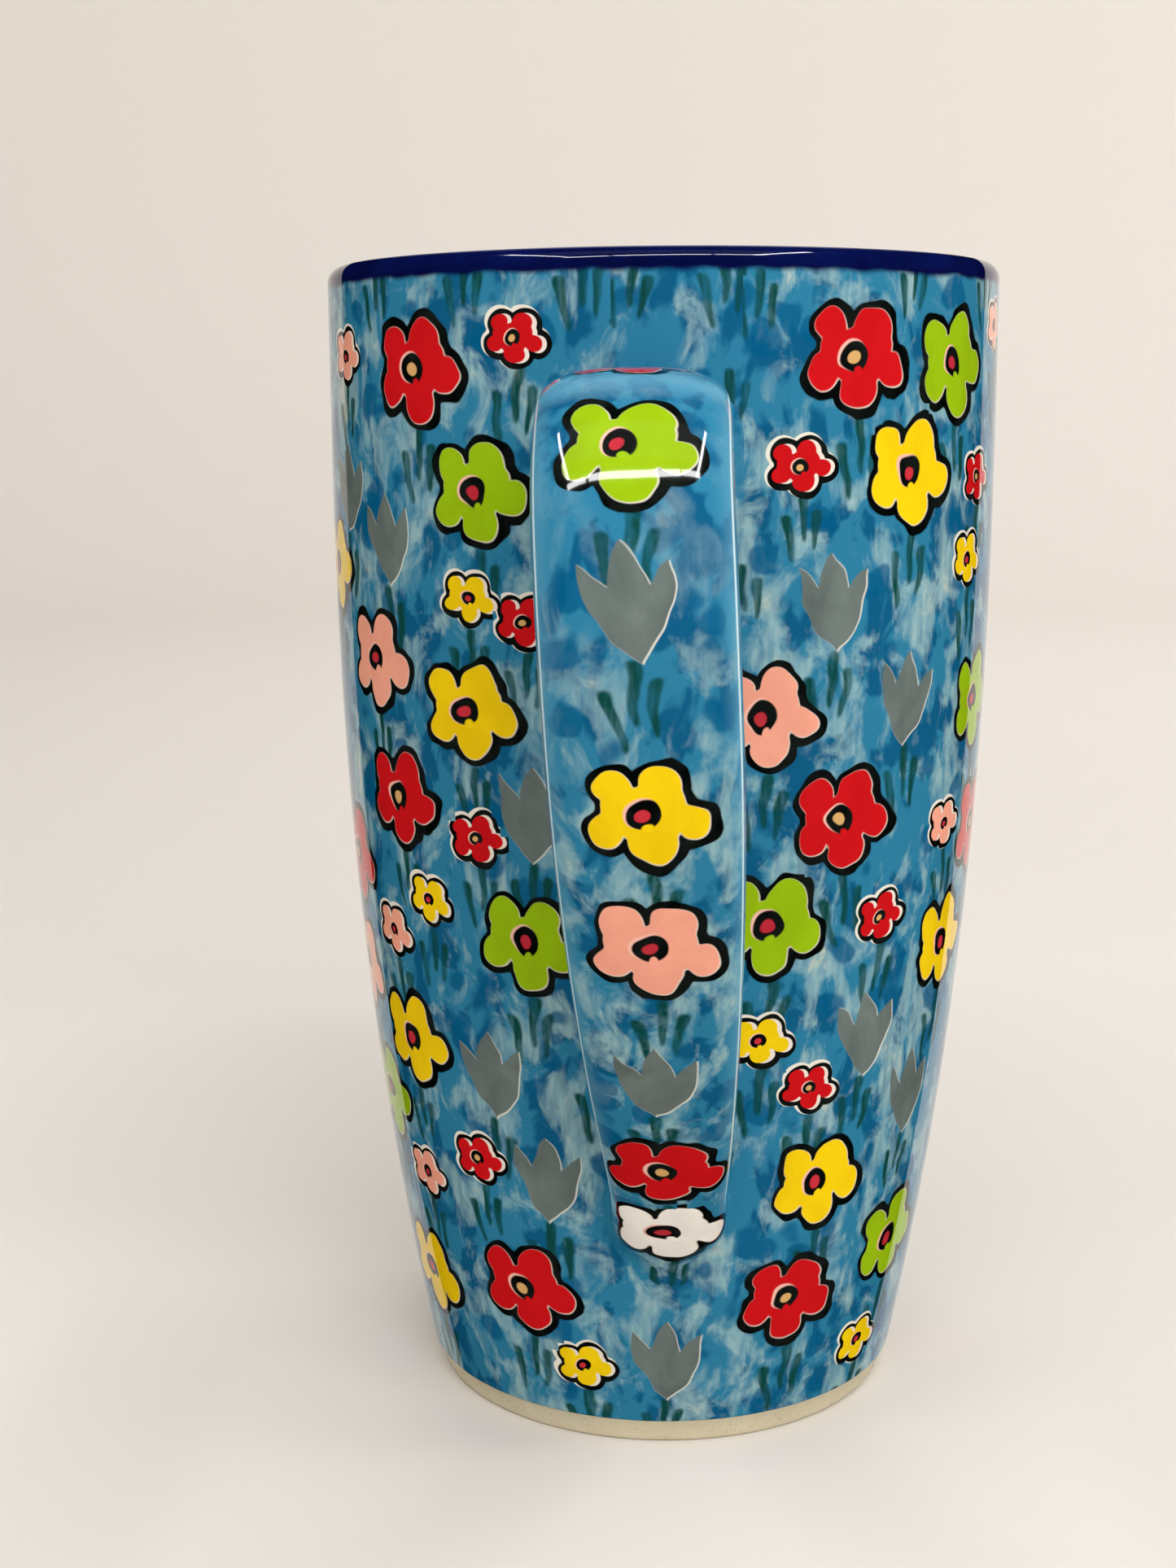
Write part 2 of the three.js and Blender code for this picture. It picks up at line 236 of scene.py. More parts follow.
band_inside = float(inside_radius(BAND_BOTTOM))
band_outline = [(BODY_RADIUS, BAND_BOTTOM)]
band_outline += arc(lip, LIP_RADIUS, 0, 180, 24)
band_outline += [(band_inside, BAND_BOTTOM), (band_inside + GLAZE, BAND_BOTTOM)]
band_outline += arc(lip, LIP_RADIUS - GLAZE, 180, 0, 16)
band_outline += [(BODY_RADIUS - GLAZE, BAND_BOTTOM), (BODY_RADIUS, BAND_BOTTOM)]
cobalt_band = turned("cobalt_band", band_outline)

liner_outline = wall_line(inside_radius, liner_heights)
liner_outline += arc(fillet_middle, FLOOR_FILLET, -6, -90, 15)
liner_outline += [(0, FLOOR_TOP), (0, FLOOR_TOP - GLAZE)]
liner_outline += arc(fillet_middle, FLOOR_FILLET + GLAZE, -90, 0, 12)
liner_outline += wall_line(inside_radius, np.linspace(fillet_top + 4, BAND_BOTTOM, 20), GLAZE)
liner_outline += [liner_outline[0]]
liner_coat = turned("liner_coat", liner_outline)

recess_edge = RECESS_RADIUS - GLAZE
base_outline = [(0, RECESS_DEPTH), (0, RECESS_DEPTH - GLAZE)]
base_outline += arc((recess_edge - GLAZE, RECESS_DEPTH), GLAZE, -90, 0, 5)
base_outline += [(0, RECESS_DEPTH)]
base_coat = turned("base_coat", base_outline)

# %% [markdown]
# ## The strap's shape
#
# The handle is pulled from a lump of clay into a strap, bent while it is soft and stuck on. Its
# middle line is a smooth curve through a few points. Its section is a rounded rectangle, about
# 20 mm wide at the top and 13 mm at the foot, and it is thicker where it leaves the wall. It leans
# a little, as a handle stuck on by eye does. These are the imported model's own numbers, so the
# detailed strap lies round the plain one. Only at the very foot is it finer: the potter presses
# the end out into a round tongue, which the plain strap leaves square.

# %% The strap's middle line
HANDLE_PATH = [
    (34.0, 123.6), (46.0, 127.6), (57.0, 131.0), (66.0, 129.6), (72.8, 123.2), (75.8, 112.5),
    (74.0, 97.0), (68.0, 79.0), (59.0, 60.5), (48.0, 45.0), (28.5, 22.0),
]  # reach from the cup's axis, height
LEAN_HEIGHTS = (36.0, 122.0)
LEAN_SHIFTS = (1.2, -2.9)


def knots():
    points = np.array([
        (np.interp(z, LEAN_HEIGHTS, LEAN_SHIFTS), -reach, z) for reach, z in HANDLE_PATH
    ])
    before = 2 * points[0] - points[1]
    after = 2 * points[-1] - points[-2]
    return np.vstack([before, points, after])


def strap_middle(along):
    """Points on the curve for places from 0 to 1, by a centripetal Catmull-Rom spline."""
    points = knots()
    spans = len(points) - 3
    whole = np.clip(along, 0, 1) * spans
    span = np.minimum(whole.astype(int), spans - 1)
    t = (whole - span)[..., None]
    p0, p1, p2, p3 = (points[span + i] for i in range(4))
    d0, d1, d2 = (
        np.sqrt(np.linalg.norm(b - a, axis=-1))[..., None] for a, b in ((p0, p1), (p1, p2), (p2, p3))
    )
    start = ((p1 - p0) / d0 - (p2 - p0) / (d0 + d1) + (p2 - p1) / d1) * d1
    end = ((p2 - p1) / d1 - (p3 - p1) / (d1 + d2) + (p3 - p2) / d2) * d1
    bend = -3 * p1 + 3 * p2 - 2 * start - end
    twist = 2 * p1 - 2 * p2 + start + end
    return p1 + start * t + bend * t**2 + twist * t**3


STRAP_WIDTHS = (13.4, 19.7)  # at the foot and at the top
STRAP_THICKNESSES = (7.4, 8.8)
STRAP_TAPER = (40.0, 100.0)  # between these heights
ROOT_EXTRA = 4.0
ROOT_REACH = 60.0
SQUARENESS = 2.8
TONGUE_TOP = 34.0
TONGUE_LENGTH = 4.8
TONGUE_END = 0.93  # the last bit of the tongue lies under the wall's glaze


def strap_surface(along, angle, grow):
    """Points on the strap, "grow" millimetres outside its clay, and which way is out."""
    middle = strap_middle(along)
    forward = strap_middle(along + 1e-4) - strap_middle(along - 1e-4)
    outward = np.stack([0 * along, -forward[..., 2], forward[..., 1]], -1)
    outward /= np.linalg.norm(outward, axis=-1, keepdims=True)
    low, high = STRAP_TAPER
    z = middle[..., 2]
    full = np.sin(np.pi / 2 * np.clip((z - low) / (high - low), 0, 1))
    nearness = (ROOT_REACH + middle[..., 1]) / (ROOT_REACH - outside_radius(z))
    root = np.where(z > (low + high) / 2, ROOT_EXTRA * np.clip(nearness, 0, 1) ** 1.5, 0)
    half_width = (STRAP_WIDTHS[0] + (STRAP_WIDTHS[1] - STRAP_WIDTHS[0]) * full) / 2
    tongue = np.sqrt(1 - np.clip((TONGUE_TOP - z) / TONGUE_LENGTH, 0, TONGUE_END) ** 2)
    half_width = half_width * tongue + grow
    thickness = STRAP_THICKNESSES[0] + (STRAP_THICKNESSES[1] - STRAP_THICKNESSES[0]) * full
    half_thick = (thickness + root) / 2 + grow
    cosine = np.cos(angle)
    sine = np.sin(angle)
    across = np.sign(cosine) * np.abs(cosine) ** (2 / SQUARENESS)
    over = np.sign(sine) * np.abs(sine) ** (2 / SQUARENESS)
    points = middle + outward * (half_thick * over)[..., None]
    points[..., 0] += half_width * across
    way_out = outward * sine[..., None]
    way_out[..., 0] += cosine
    return points, way_out


def stand_off(points):
    """How far points stand off the cup's clay."""
    return np.hypot(points[..., 0], points[..., 1]) - (outside_radius(points[..., 2]) - GLAZE)


reach = -strap_middle(np.linspace(0, 1, 200))[:, 1].min()
print("the strap's middle line reaches", round(float(reach), 1), "mm from the cup's axis")

# %% [markdown]
# ## Where the strap meets the wall
#
# The strap's lines are followed from each end until they leave the wall. Slip fills the corner
# there and is smoothed with a wet finger into a round fillet, so a line that comes near the wall
# is spread along it until it lies flat on it. The painted coat goes over the fillet and ends level
# with the coat on the wall, so that no step shows.

# %% Rings of points along the strap
STRAP_SIDES = 96
STRAP_STATIONS = 120
FILLET_STEPS = 16
FILLETS = (2.8, 1.9)  # upper and lower


def where_stand_off(angle, grow, distance, from_end):
    low = np.full_like(angle, from_end)
    high = np.full_like(angle, 0.5)
    for _ in range(40):
        middle = (low + high) / 2
        inside = stand_off(strap_surface(middle, angle, grow)[0]) < distance
        low = np.where(inside, middle, low)
        high = np.where(inside, high, middle)
    return high


def spread_on_wall(points, way_out, foot, fillet):
    """Moves points along the wall by a round fillet's spread at their height."""
    height = np.clip(stand_off(points) - foot, 0, fillet)
    spread = fillet - np.sqrt(fillet**2 - (fillet - height) ** 2)
    normal = points * (1, 1, 0)
    normal = normal / np.linalg.norm(normal, axis=-1, keepdims=True)
    sideways = way_out - normal * (way_out * normal).sum(-1, keepdims=True)
    sideways /= np.linalg.norm(sideways, axis=-1, keepdims=True)
    moved = points + sideways * spread[..., None]
    wanted = stand_off(points) + outside_radius(moved[..., 2]) - GLAZE
    moved[..., :2] *= (wanted / np.hypot(moved[..., 0], moved[..., 1]))[..., None]
    return moved


def strap_rings(grow, foot, flared):
    """Rings of points, and where each is along the curve, from the upper end to the lower one."""
    angle = np.linspace(0, 2 * np.pi, STRAP_SIDES, endpoint=False)
    parts = (np.linspace(0, 1, FILLET_STEPS + 1)) ** 1.6
    ends = []
    for from_end, fillet in zip((0.0, 1.0), FILLETS):
        radius = fillet - grow
        ends.append(np.array([
            where_stand_off(angle, grow, foot + part * radius, from_end) for part in parts
        ]))
    upper, lower = ends
    share = np.linspace(0, 1, STRAP_STATIONS + 2)[1:-1, None]
    between = upper[-1] * (1 - share) + lower[-1] * share
    along = np.vstack([upper, between, lower[::-1]])
    points, way_out = strap_surface(along, np.broadcast_to(angle, along.shape), grow)
    if flared:
        half = len(along) // 2
        for rows, fillet in ((slice(0, half), FILLETS[0]), (slice(half, None), FILLETS[1])):
            points[rows] = spread_on_wall(points[rows], way_out[rows], foot, fillet - grow)
    return points, along


GAP = 0.3
bare_strap, _ = strap_rings(0, GAP, flared=False)
flared_strap, _ = strap_rings(0, GAP, flared=True)
glazed_strap, glazed_along = strap_rings(GLAZE, GLAZE - 0.03, flared=True)
print("rings along the strap:", len(glazed_strap))

# %% [markdown]
# ## Rolling the strap's layers
#
# A slab, which is a flat grid with a row of faces for each step along the strap, is rolled round
# the rings of points: its width goes once round the section and its length goes along the strap.
# A coat is rolled twice over, out along its outside and back along the clay under it, so that the
# slab's last row meets its first and the coat is a closed sleeve. Merging the doubles then closes
# the seams.

# %% Roll a slab round rings of points
def rolled(name, rings, capped=False):
    rows, sides = rings.shape[:2]
    bpy.ops.object.select_all(action="DESELECT")
    bpy.ops.mesh.primitive_grid_add(x_subdivisions=sides, y_subdivisions=rows - 1, size=1)
    piece = bpy.context.object
    piece.name = name
    flat = np.zeros(len(piece.data.vertices) * 3)
    piece.data.vertices.foreach_get("co", flat)
    flat = flat.reshape(-1, 3)
    side = np.round((flat[:, 0] + 0.5) * sides).astype(int) % sides
    row = np.round((flat[:, 1] + 0.5) * (rows - 1)).astype(int)
    places = rings[row, side] * MM + (0, AXIS_Y * MM, 0)
    piece.data.vertices.foreach_set("co", places.ravel())
    piece.data.update()
    if capped:
        bpy.ops.object.mode_set(mode="EDIT")
        bpy.ops.mesh.select_all(action="SELECT")
        bpy.ops.mesh.remove_doubles(threshold=2e-6)
        bpy.ops.mesh.fill_holes(sides=0)
        bpy.ops.object.mode_set(mode="OBJECT")
    finish_mesh(piece, smooth_below=50)
    return piece


def sleeve(outer, inner):
    return np.concatenate([outer, inner[::-1], outer[:1]])


handle_clay = rolled("handle_clay", bare_strap, capped=True)
handle_coat = rolled("handle_coat", sleeve(glazed_strap, flared_strap))
at_top = slice(None, FILLET_STEPS + 1)
at_foot = slice(-FILLET_STEPS - 1, None)
upper_slip = rolled("upper_slip", sleeve(flared_strap[at_top], bare_strap[at_top]))
lower_slip = rolled("lower_slip", sleeve(flared_strap[at_foot], bare_strap[at_foot]))

# %% [markdown]
# ## Where the painter sets the flowers
#
# The painting is made of a few motifs, set down freely: a big five-lobed flower, a small one, a
# tulip, and three leaf strokes under each. A motif could be an image, but then it would be blurred
# or repeated. Here it is drawn by the shader from distances, and the mesh only says where: every
# face belongs to its nearest motif, and its UV map holds the distance in millimetres from that
# motif's middle. The list gives each motif's kind, its paint, its place round the cup in degrees
# from the handle, and its height.

# %% The flowers on the side of the handle
LEFT_FLOWERS = [
    ("small", "pink", -63, 138), ("big", "red", -41, 136), ("small", "red", -22, 139.5),
    ("big", "green", -29, 122), ("tulip", "grey", -64, 122), ("tulip", "grey", -50, 116),
    ("small", "yellow", -31, 109.5), ("big", "yellow", -72, 112), ("small", "red", -21, 107),
    ("big", "pink", -54, 101), ("big", "yellow", -31.5, 96), ("big", "red", -49, 84),
    ("tulip", "grey", -21, 84), ("small", "red", -31, 80.5), ("small", "yellow", -43, 71.5),
    ("small", "pink", -55, 66), ("big", "red", -71.5, 74), ("big", "pink", -73, 59),
    ("big", "green", -22, 68), ("big", "yellow", -52, 52), ("big", "green", -68, 42),
    ("tulip", "grey", -32, 50), ("small", "red", -36.5, 38), ("small", "pink", -54, 33),
    ("tulip", "grey", -22, 37), ("big", "red", -28, 21), ("big", "yellow", -60, 17.6),
    ("small", "yellow", -16, 11), ("tulip", "grey", 1, 12.7),
]
RIGHT_FLOWERS = [
    ("big", "red", 31.7, 137), ("big", "green", 54, 136.6), ("small", "pink", 73, 141.5),
    ("small", "red", 22, 125), ("big", "yellow", 43.2, 124), ("small", "red", 64, 123),
    ("small", "yellow", 61, 113), ("tulip", "grey", 27.6, 109), ("tulip", "grey", 43, 97),
    ("big", "pink", 17, 96), ("big", "green", 68, 95), ("big", "red", 31.5, 83),
    ("small", "pink", 58, 80), ("big", "red", 74, 78), ("small", "red", 41, 70),
    ("big", "green", 19, 70.5), ("big", "yellow", 62, 64), ("small", "yellow", 18, 56),
    ("small", "red", 28, 49), ("tulip", "grey", 39, 55), ("tulip", "grey", 54, 45),
    ("big", "yellow", 32, 36), ("big", "green", 57, 24), ("big", "red", 28, 20),
    ("small", "yellow", 51, 10),
]
BEHIND_HANDLE = [
    ("big", "red", 0, 104), ("small", "yellow", -3, 90), ("big", "green", 2, 77),
    ("tulip", "grey", -3, 62), ("big", "pink", 2, 46),
]
print("flowers on the handle's side:", len(LEFT_FLOWERS) + len(RIGHT_FLOWERS) + len(BEHIND_HANDLE))

# %% [markdown]
# The painter carries on round the back in the same way, in loose staggered rows. A loop sets those
# motifs down, with a fixed seed for the small misplacements of a hand.

# %% The flowers on the far side and on the handle
hand = np.random.default_rng(11)
FAR_KINDS = ["big", "small", "big", "tulip", "big", "small", "tulip"]
FAR_PAINTS = ["red", "yellow", "green", "pink", "red", "yellow"]
far_flowers = []
for row in range(11):
    for column in range(7):
        degrees = 91 + 28 * column + 14 * (row % 2) + hand.uniform(-3, 3)
        height = 139 - 12.8 * row + hand.uniform(-2.5, 2.5)
        kind = FAR_KINDS[(3 * row + column) % len(FAR_KINDS)]
        paint = FAR_PAINTS[(row + 5 * column) % len(FAR_PAINTS)]
        if degrees < 272 and height > 9:
            far_flowers.append((kind, paint, degrees, height))
wall_flowers = LEFT_FLOWERS + RIGHT_FLOWERS + BEHIND_HANDLE + far_flowers

# On the handle the third number is how far across the strap from its middle line, and the fourth
# how far along its outer face from the wall, in millimetres.
HANDLE_FLOWERS = [
    ("big", "red", 0, 15.5), ("big", "green", 0, 34.5), ("tulip", "grey", -0.7, 50.5),
    ("big", "yellow", 0.6, 72.5), ("big", "pink", 0.6, 89), ("tulip", "grey", -0.6, 108.5),
    ("broad", "red", 0.3, 125.6), ("broad", "white", 0.5, 139.9),
]
print("motifs on the wall:", len(wall_flowers), "and on the handle:", len(HANDLE_FLOWERS))

# %% [markdown]
# ## Coordinates on the surface
#
# On the wall a place is an angle round the axis and a height. On the strap it is the distance
# across the section from the middle of the outer face, and the distance along that face. Both are
# worked out for every corner of every face.

# %% Distances on the wall and on the strap
def corner_points(piece):
    mesh = piece.data
    places = np.zeros(len(mesh.vertices) * 3)
    mesh.vertices.foreach_get("co", places)
    places = places.reshape(-1, 3) / MM - (0, AXIS_Y, 0)
    vertex_of = np.zeros(len(mesh.loops), int)
    mesh.loops.foreach_get("vertex_index", vertex_of)
    return places[vertex_of]


wall_corners = corner_points(painted_coat)
wall_angles = np.arctan2(wall_corners[:, 0], -wall_corners[:, 1])


def wall_offsets(degrees, height):
    """How far each corner of the wall is from a place, across and up, in millimetres."""
    turn = (wall_angles - math.radians(degrees) + np.pi) % (2 * np.pi) - np.pi
    return turn * outside_radius(height), wall_corners[:, 2] - height


OUTER_FACE = -np.pi / 2  # the angle round the section of the middle of the strap's outer face
LINE_POINTS = 2000
line_places = np.linspace(0, 1, LINE_POINTS)
face_line, _ = strap_surface(line_places, np.full(LINE_POINTS, OUTER_FACE), GLAZE)
line_length = np.cumsum(np.linalg.norm(np.diff(face_line, axis=0, prepend=face_line[:1]), axis=1))
upper_part = slice(0, LINE_POINTS // 3)
line_length -= np.interp(GLAZE, stand_off(face_line[upper_part]), line_length[upper_part])
ring_steps = np.linalg.norm(np.roll(glazed_strap, -1, axis=1) - glazed_strap, axis=2)
round_section = np.cumsum(ring_steps, axis=1) - ring_steps
front = 3 * STRAP_SIDES // 4
ring_across = round_section - round_section[:, front : front + 1]
girth = ring_steps.sum(axis=1, keepdims=True)
ring_across = (ring_across + girth / 2) % girth - girth / 2
ring_along = np.interp(glazed_along, line_places, line_length)

# The slab's own flat UV map says which ring and which side of it a corner is on. Rows past the
# outer skin's last one are on the clay side, where nothing is painted.
slab = np.zeros(len(handle_coat.data.loops) * 2)
handle_coat.data.uv_layers["UVMap"].data.foreach_get("uv", slab)
slab = slab.reshape(-1, 2)
corner_side = np.round(slab[:, 0] * STRAP_SIDES).astype(int) % STRAP_SIDES
corner_row = np.round(slab[:, 1] * 2 * len(glazed_strap)).astype(int)
outside = corner_row < len(glazed_strap)
corner_row = np.minimum(corner_row, len(glazed_strap) - 1)
FAR_AWAY = 99.0
strap_across = np.where(outside, ring_across[corner_row, corner_side], FAR_AWAY)
strap_along = np.where(outside, ring_along[corner_row, corner_side], FAR_AWAY)
print("corners on the strap's outer skin:", int(outside.sum()), "of", len(outside))
handle_coat.data.uv_layers.remove(handle_coat.data.uv_layers["UVMap"])


def strap_offsets(across, along):
    return strap_across - across, along - strap_along


# %% [markdown]
# A pale line is painted along the two edges of the strap's outer face, with a lighter blue beside
# it and on the shoulder: painted sheen, in place of the reflection that the rounded edges and the
# up-facing shoulder show. The painted sheen fades towards both ends, where the strap runs into
# the wall. The blue ground is also darker on the strap's upper part.

# %% Painted sheen along the strap's edges, and its darker upper ground
EDGE_SIDES = (53, 91)  # where on a ring the strap's outer face turns into its flanks
SHEEN_LINE_WIDTH = 0.42
SHEEN_WIDTH = 3.0
SHOULDER = 23.0  # these are distances along the strap, in millimetres
SHOULDER_REACH = 4.0
TOP_FADE = 6.0
FOOT_FADE = (10.0, 8.0)  # ends this far before the foot, over this length
DARK_UNTIL = 72.0
DARK_FADE = 30.0
# Painted sheen: a pale line and a lighter blue stand in for the reflection along the strap's edges and on
# its shoulder.
from_edge = np.min([np.abs(ring_across - ring_across[:, [side]]) for side in EDGE_SIDES], axis=0)
edge_sheen_line = np.clip(1 - from_edge / SHEEN_LINE_WIDTH, 0, 1)
edge_sheen = np.clip(1 - from_edge / SHEEN_WIDTH, 0, 1) ** 1.5
shoulder_sheen = np.clip(1.2 - np.abs(ring_along - SHOULDER) / SHOULDER_REACH, 0, 1)
to_foot = np.clip((ring_along[-1, front] - FOOT_FADE[0] - ring_along) / FOOT_FADE[1], 0, 1)
from_top = np.clip((ring_along - TOP_FADE) / TOP_FADE, 0, 1)
sheen_on_ring = from_top * to_foot * (0.5 * edge_sheen_line + 0.5 * np.maximum(edge_sheen, shoulder_sheen))
sheen_on_corners = np.where(outside, sheen_on_ring[corner_row, corner_side], 0)
# The ground is darker on the strap's upper part, fading out further down.
darker_upper_share = np.clip((DARK_UNTIL - strap_along) / DARK_FADE, 0, 1)
print("corners with painted sheen:", int((sheen_on_corners > 0).sum()))

# %% [markdown]
# Each face now goes to its nearest motif, with the distance measured in sizes of the motif, so a
# small flower doesn't take faces from a big one. A small flower's coordinates are stretched, and
# the same drawing then comes out small. Every motif is turned a little, as a hand would. The
# alpha of a colour is free to carry something else: the petals' says which kind of motif it is,
# and the dot's says how strong the painted sheen is on the strap's edges and shoulder.

# %% Give each face its motif
PAINTS = {
    "red": ("#c6151b", "#cfa468"), "yellow": ("#efcb10", "#c0303c"), "green": ("#93b812", "#b52a38"),
    "pink": ("#efa48c", "#b4303a"), "white": ("#f7f4ec", "#b4303a"), "grey": ("#8d9a98", "#8d9a98"),
}  # petals, and the dot in the middle
HALF_SIZES = {"big": (7.8, 7.2), "broad": (8.4, 7.8), "small": (4.2, 3.9), "tulip": (5.0, 6.2)}
STRETCH = {"big": (1.03, 1.05), "broad": (0.94, 0.95), "small": (1.85, 2.12), "tulip": (1.0, 1.0)}
KIND_ALPHA = {"big": 0.0, "broad": 0.0, "small": 0.5, "tulip": 1.0}
STROKE_HALF_SIZE = (3.4, 5.0)
STROKE_MIDDLE = 4.8  # below its top


def linear(code, alpha=1.0):
    """An sRGB hex colour as linear red, green and blue."""
    parts = [int(code[i : i + 2], 16) / 255 for i in (1, 3, 5)]
    return (*((c / 12.92 if c < 0.04045 else ((c + 0.055) / 1.055) ** 2.4) for c in parts), alpha)


def nearest_motif(piece, offsets, half_sizes):
    """For each face, the number of the motif that it lies in or is nearest to."""
    starts = np.zeros(len(piece.data.polygons), int)
    totals = np.zeros(len(piece.data.polygons), int)
    piece.data.polygons.foreach_get("loop_start", starts)
    piece.data.polygons.foreach_get("loop_total", totals)
    best = np.full(len(starts), 1e9)
    motif = np.zeros(len(starts), int)
    for number, ((across, up), (half_across, half_up)) in enumerate(zip(offsets, half_sizes)):
        face_across = np.add.reduceat(np.abs(across), starts) / totals
        face_up = np.add.reduceat(np.abs(up), starts) / totals
        distance = np.hypot(face_across / half_across, face_up / half_up)
        nearer = distance < best
        best[nearer] = distance[nearer]
        motif[nearer] = number
    return np.repeat(motif, totals)


def motif_map(piece, layer, motif, offsets, turns, stretches):
    """A UV map with each corner's place in its motif, turned and stretched with the motif."""
    corners = np.arange(len(motif))
    across = np.array([a for a, _ in offsets])[motif, corners]
    up = np.array([u for _, u in offsets])[motif, corners]
    angle = np.radians(np.array(turns))[motif]
    stretch = np.array(stretches)[motif]
    u = (across * np.cos(angle) + up * np.sin(angle)) * stretch[:, 0]
    v = (up * np.cos(angle) - across * np.sin(angle)) * stretch[:, 1]
    piece.data.uv_layers.new(name=layer).data.foreach_set("uv", np.stack([u, v], 1).ravel())


def corner_colour(piece, name, values):
    made = piece.data.color_attributes.new(name, "FLOAT_COLOR", "CORNER")
    made.data.foreach_set("color", np.asarray(values, float).ravel())


def paint_places(piece, flowers, offsets_of, strokes, painted_sheen):
    offsets = [offsets_of(place, height) for _, _, place, height in flowers]
    kinds = [kind for kind, *_ in flowers]
    motif = nearest_motif(piece, offsets, [HALF_SIZES[kind] for kind in kinds])
    turns = hand.uniform(-9, 9, len(flowers))
    sizes = np.array([STRETCH[kind] for kind in kinds]) * hand.uniform(0.96, 1.05, (len(kinds), 1))
    motif_map(piece, "flower_mm", motif, offsets, turns, sizes)
    petals = np.array([linear(PAINTS[paint][0]) for _, paint, _, _ in flowers])
    dots = np.array([linear(PAINTS[paint][1]) for _, paint, _, _ in flowers])[motif]
    # The dot colour's alpha carries the painted sheen on the strap's edges and shoulder.
    dots[:, 3] = painted_sheen
    petals[:, 3] = [KIND_ALPHA[kind] for kind in kinds]
    corner_colour(piece, "petal_paint", petals[motif])
    corner_colour(piece, "dot_paint", dots)
    stroke_offsets = [offsets_of(place, height) for place, height in strokes]
    low = [(across, up + STROKE_MIDDLE) for across, up in stroke_offsets]
    stroke = nearest_motif(piece, low, [STROKE_HALF_SIZE] * len(strokes))
    turns = hand.uniform(-6, 6, len(strokes))
    sizes = np.repeat(hand.uniform(0.9, 1.2, (len(strokes), 1)), 2, axis=1)
    motif_map(piece, "leaf_mm", stroke, stroke_offsets, turns, sizes)


def stroke_tops(flowers, downwards, drop=0.6):
    """Leaf strokes start under each flower."""
    return [
        (place, height + downwards * (HALF_SIZES[kind][1] - drop))
        for kind, _, place, height in flowers
    ]


RIM_STROKES = [
    (-52, 149), (-31, 149), (-12, 149), (-4, 148), (9, 149), (15, 147), (43, 149), (65, 149),
    (0, 128), (-8, 135), (10, 136), (-13, 118), (12, 114), (-10, 52), (10, 44),
]
wall_strokes = stroke_tops(wall_flowers, -1) + RIM_STROKES
strap_strokes = stroke_tops(HANDLE_FLOWERS[1:], 1)
paint_places(painted_coat, wall_flowers, wall_offsets, wall_strokes, 0)
paint_places(handle_coat, HANDLE_FLOWERS, strap_offsets, strap_strokes, sheen_on_corners)
corner_colour(handle_coat, "darker_upper_ground", np.repeat(darker_upper_share[:, None], 4, axis=1))
corner_colour(painted_coat, "darker_upper_ground", np.zeros((len(painted_coat.data.loops), 4)))
print("UV maps:", [layer.name for layer in painted_coat.data.uv_layers])

# %% [markdown]
# ## Materials
#
# One small function adds a node, sets it up and links it. A number, a colour, a socket or another
# node can be given for each input. A node given as an input stands for its first output in use.

# %% Add a node
def add(tree, kind, inputs=None, **settings):
    node = tree.nodes.new(kind)
    for name, value in settings.items():
        setattr(node, name, value)
    for key, value in (inputs or {}).items():
        named = [s for s in node.inputs if s.enabled and s.name == key]
        socket = node.inputs[key] if isinstance(key, int) else named[0]
        if isinstance(value, bpy.types.Node):
            value = next(s for s in value.outputs if s.enabled)
        if isinstance(value, bpy.types.NodeSocket):
            tree.links.new(value, socket)
        else:
            socket.default_value = value
    return node


def new_material(name):
    """A material with no nodes yet, and its node tree."""
    material = bpy.data.materials.new(name)
    material.use_nodes = True
    material.node_tree.nodes.clear()
    return material, material.node_tree


def millimetres(tree):
    """Object coordinates in millimetres, so that a texture's scale is one over its size."""
    place = add(tree, "ShaderNodeTexCoord").outputs["Object"]
    return add(tree, "ShaderNodeVectorMath", {0: place, "Scale": 1000.0}, operation="SCALE")


# %% [markdown]
# ### Five petals from circles
#
# A flower is five round lobes about a middle of three circles. The distance to a circle is the
# distance to its middle less its radius, and the smooth minimum of several such distances is the distance
# to all of them merged. The group gives that distance, below zero inside the flower, for any place
# in millimetres. It is used for the fill, for the outline and for the paint under them.

# %% A group that measures the distance to five merged petals
def new_group(name, inputs):
    group = bpy.data.node_groups.new(name, "ShaderNodeTree")
    for label, kind in inputs:
        group.interface.new_socket(label, in_out="INPUT", socket_type=kind)
    group.interface.new_socket("Distance", in_out="OUTPUT", socket_type="NodeSocketFloat")
    return group, add(group, "NodeGroupInput")


PETALS = [
    (-0.3, 0.0, 3.7), (-3.2, 0.8, 2.6), (2.0, 1.4, 2.2), (-4.3, 3.4, 2.15), (1.2, 3.5, 2.6),
    (4.4, -0.9, 2.15), (0.0, -3.6, 2.55), (-4.8, -1.8, 2.1),
]  # middle across, middle up, radius

petals, given = new_group("five_petals", [("Place", "NodeSocketVector")])
merged = None
for across, up, radius in PETALS:
    to_middle = add(
        petals, "ShaderNodeVectorMath", {0: given, 1: (across, up, 0)}, operation="DISTANCE"
    )
    lobe = add(petals, "ShaderNodeMath", {0: to_middle, 1: radius}, operation="SUBTRACT")
    merged = lobe if merged is None else add(
        petals, "ShaderNodeMath", {0: merged, 1: lobe, 2: 0.5}, operation="SMOOTH_MIN"
    )
add(petals, "NodeGroupOutput", {"Distance": merged})

# %% [markdown]
# ### A tulip from three blades
#
# A tulip is three blades that fan out from one foot. Each is the part that two equal circles
# share, which is pointed at both ends, and the circles follow from the blade's tip and half width.

# %% A group that measures the distance to a tulip
TULIP_FOOT = np.array((0.2, -5.6))
BLADES = [((-4.6, 4.3), 1.4), ((-0.1, 5.9), 2.1), ((4.6, 3.9), 1.55)]  # tip, half width

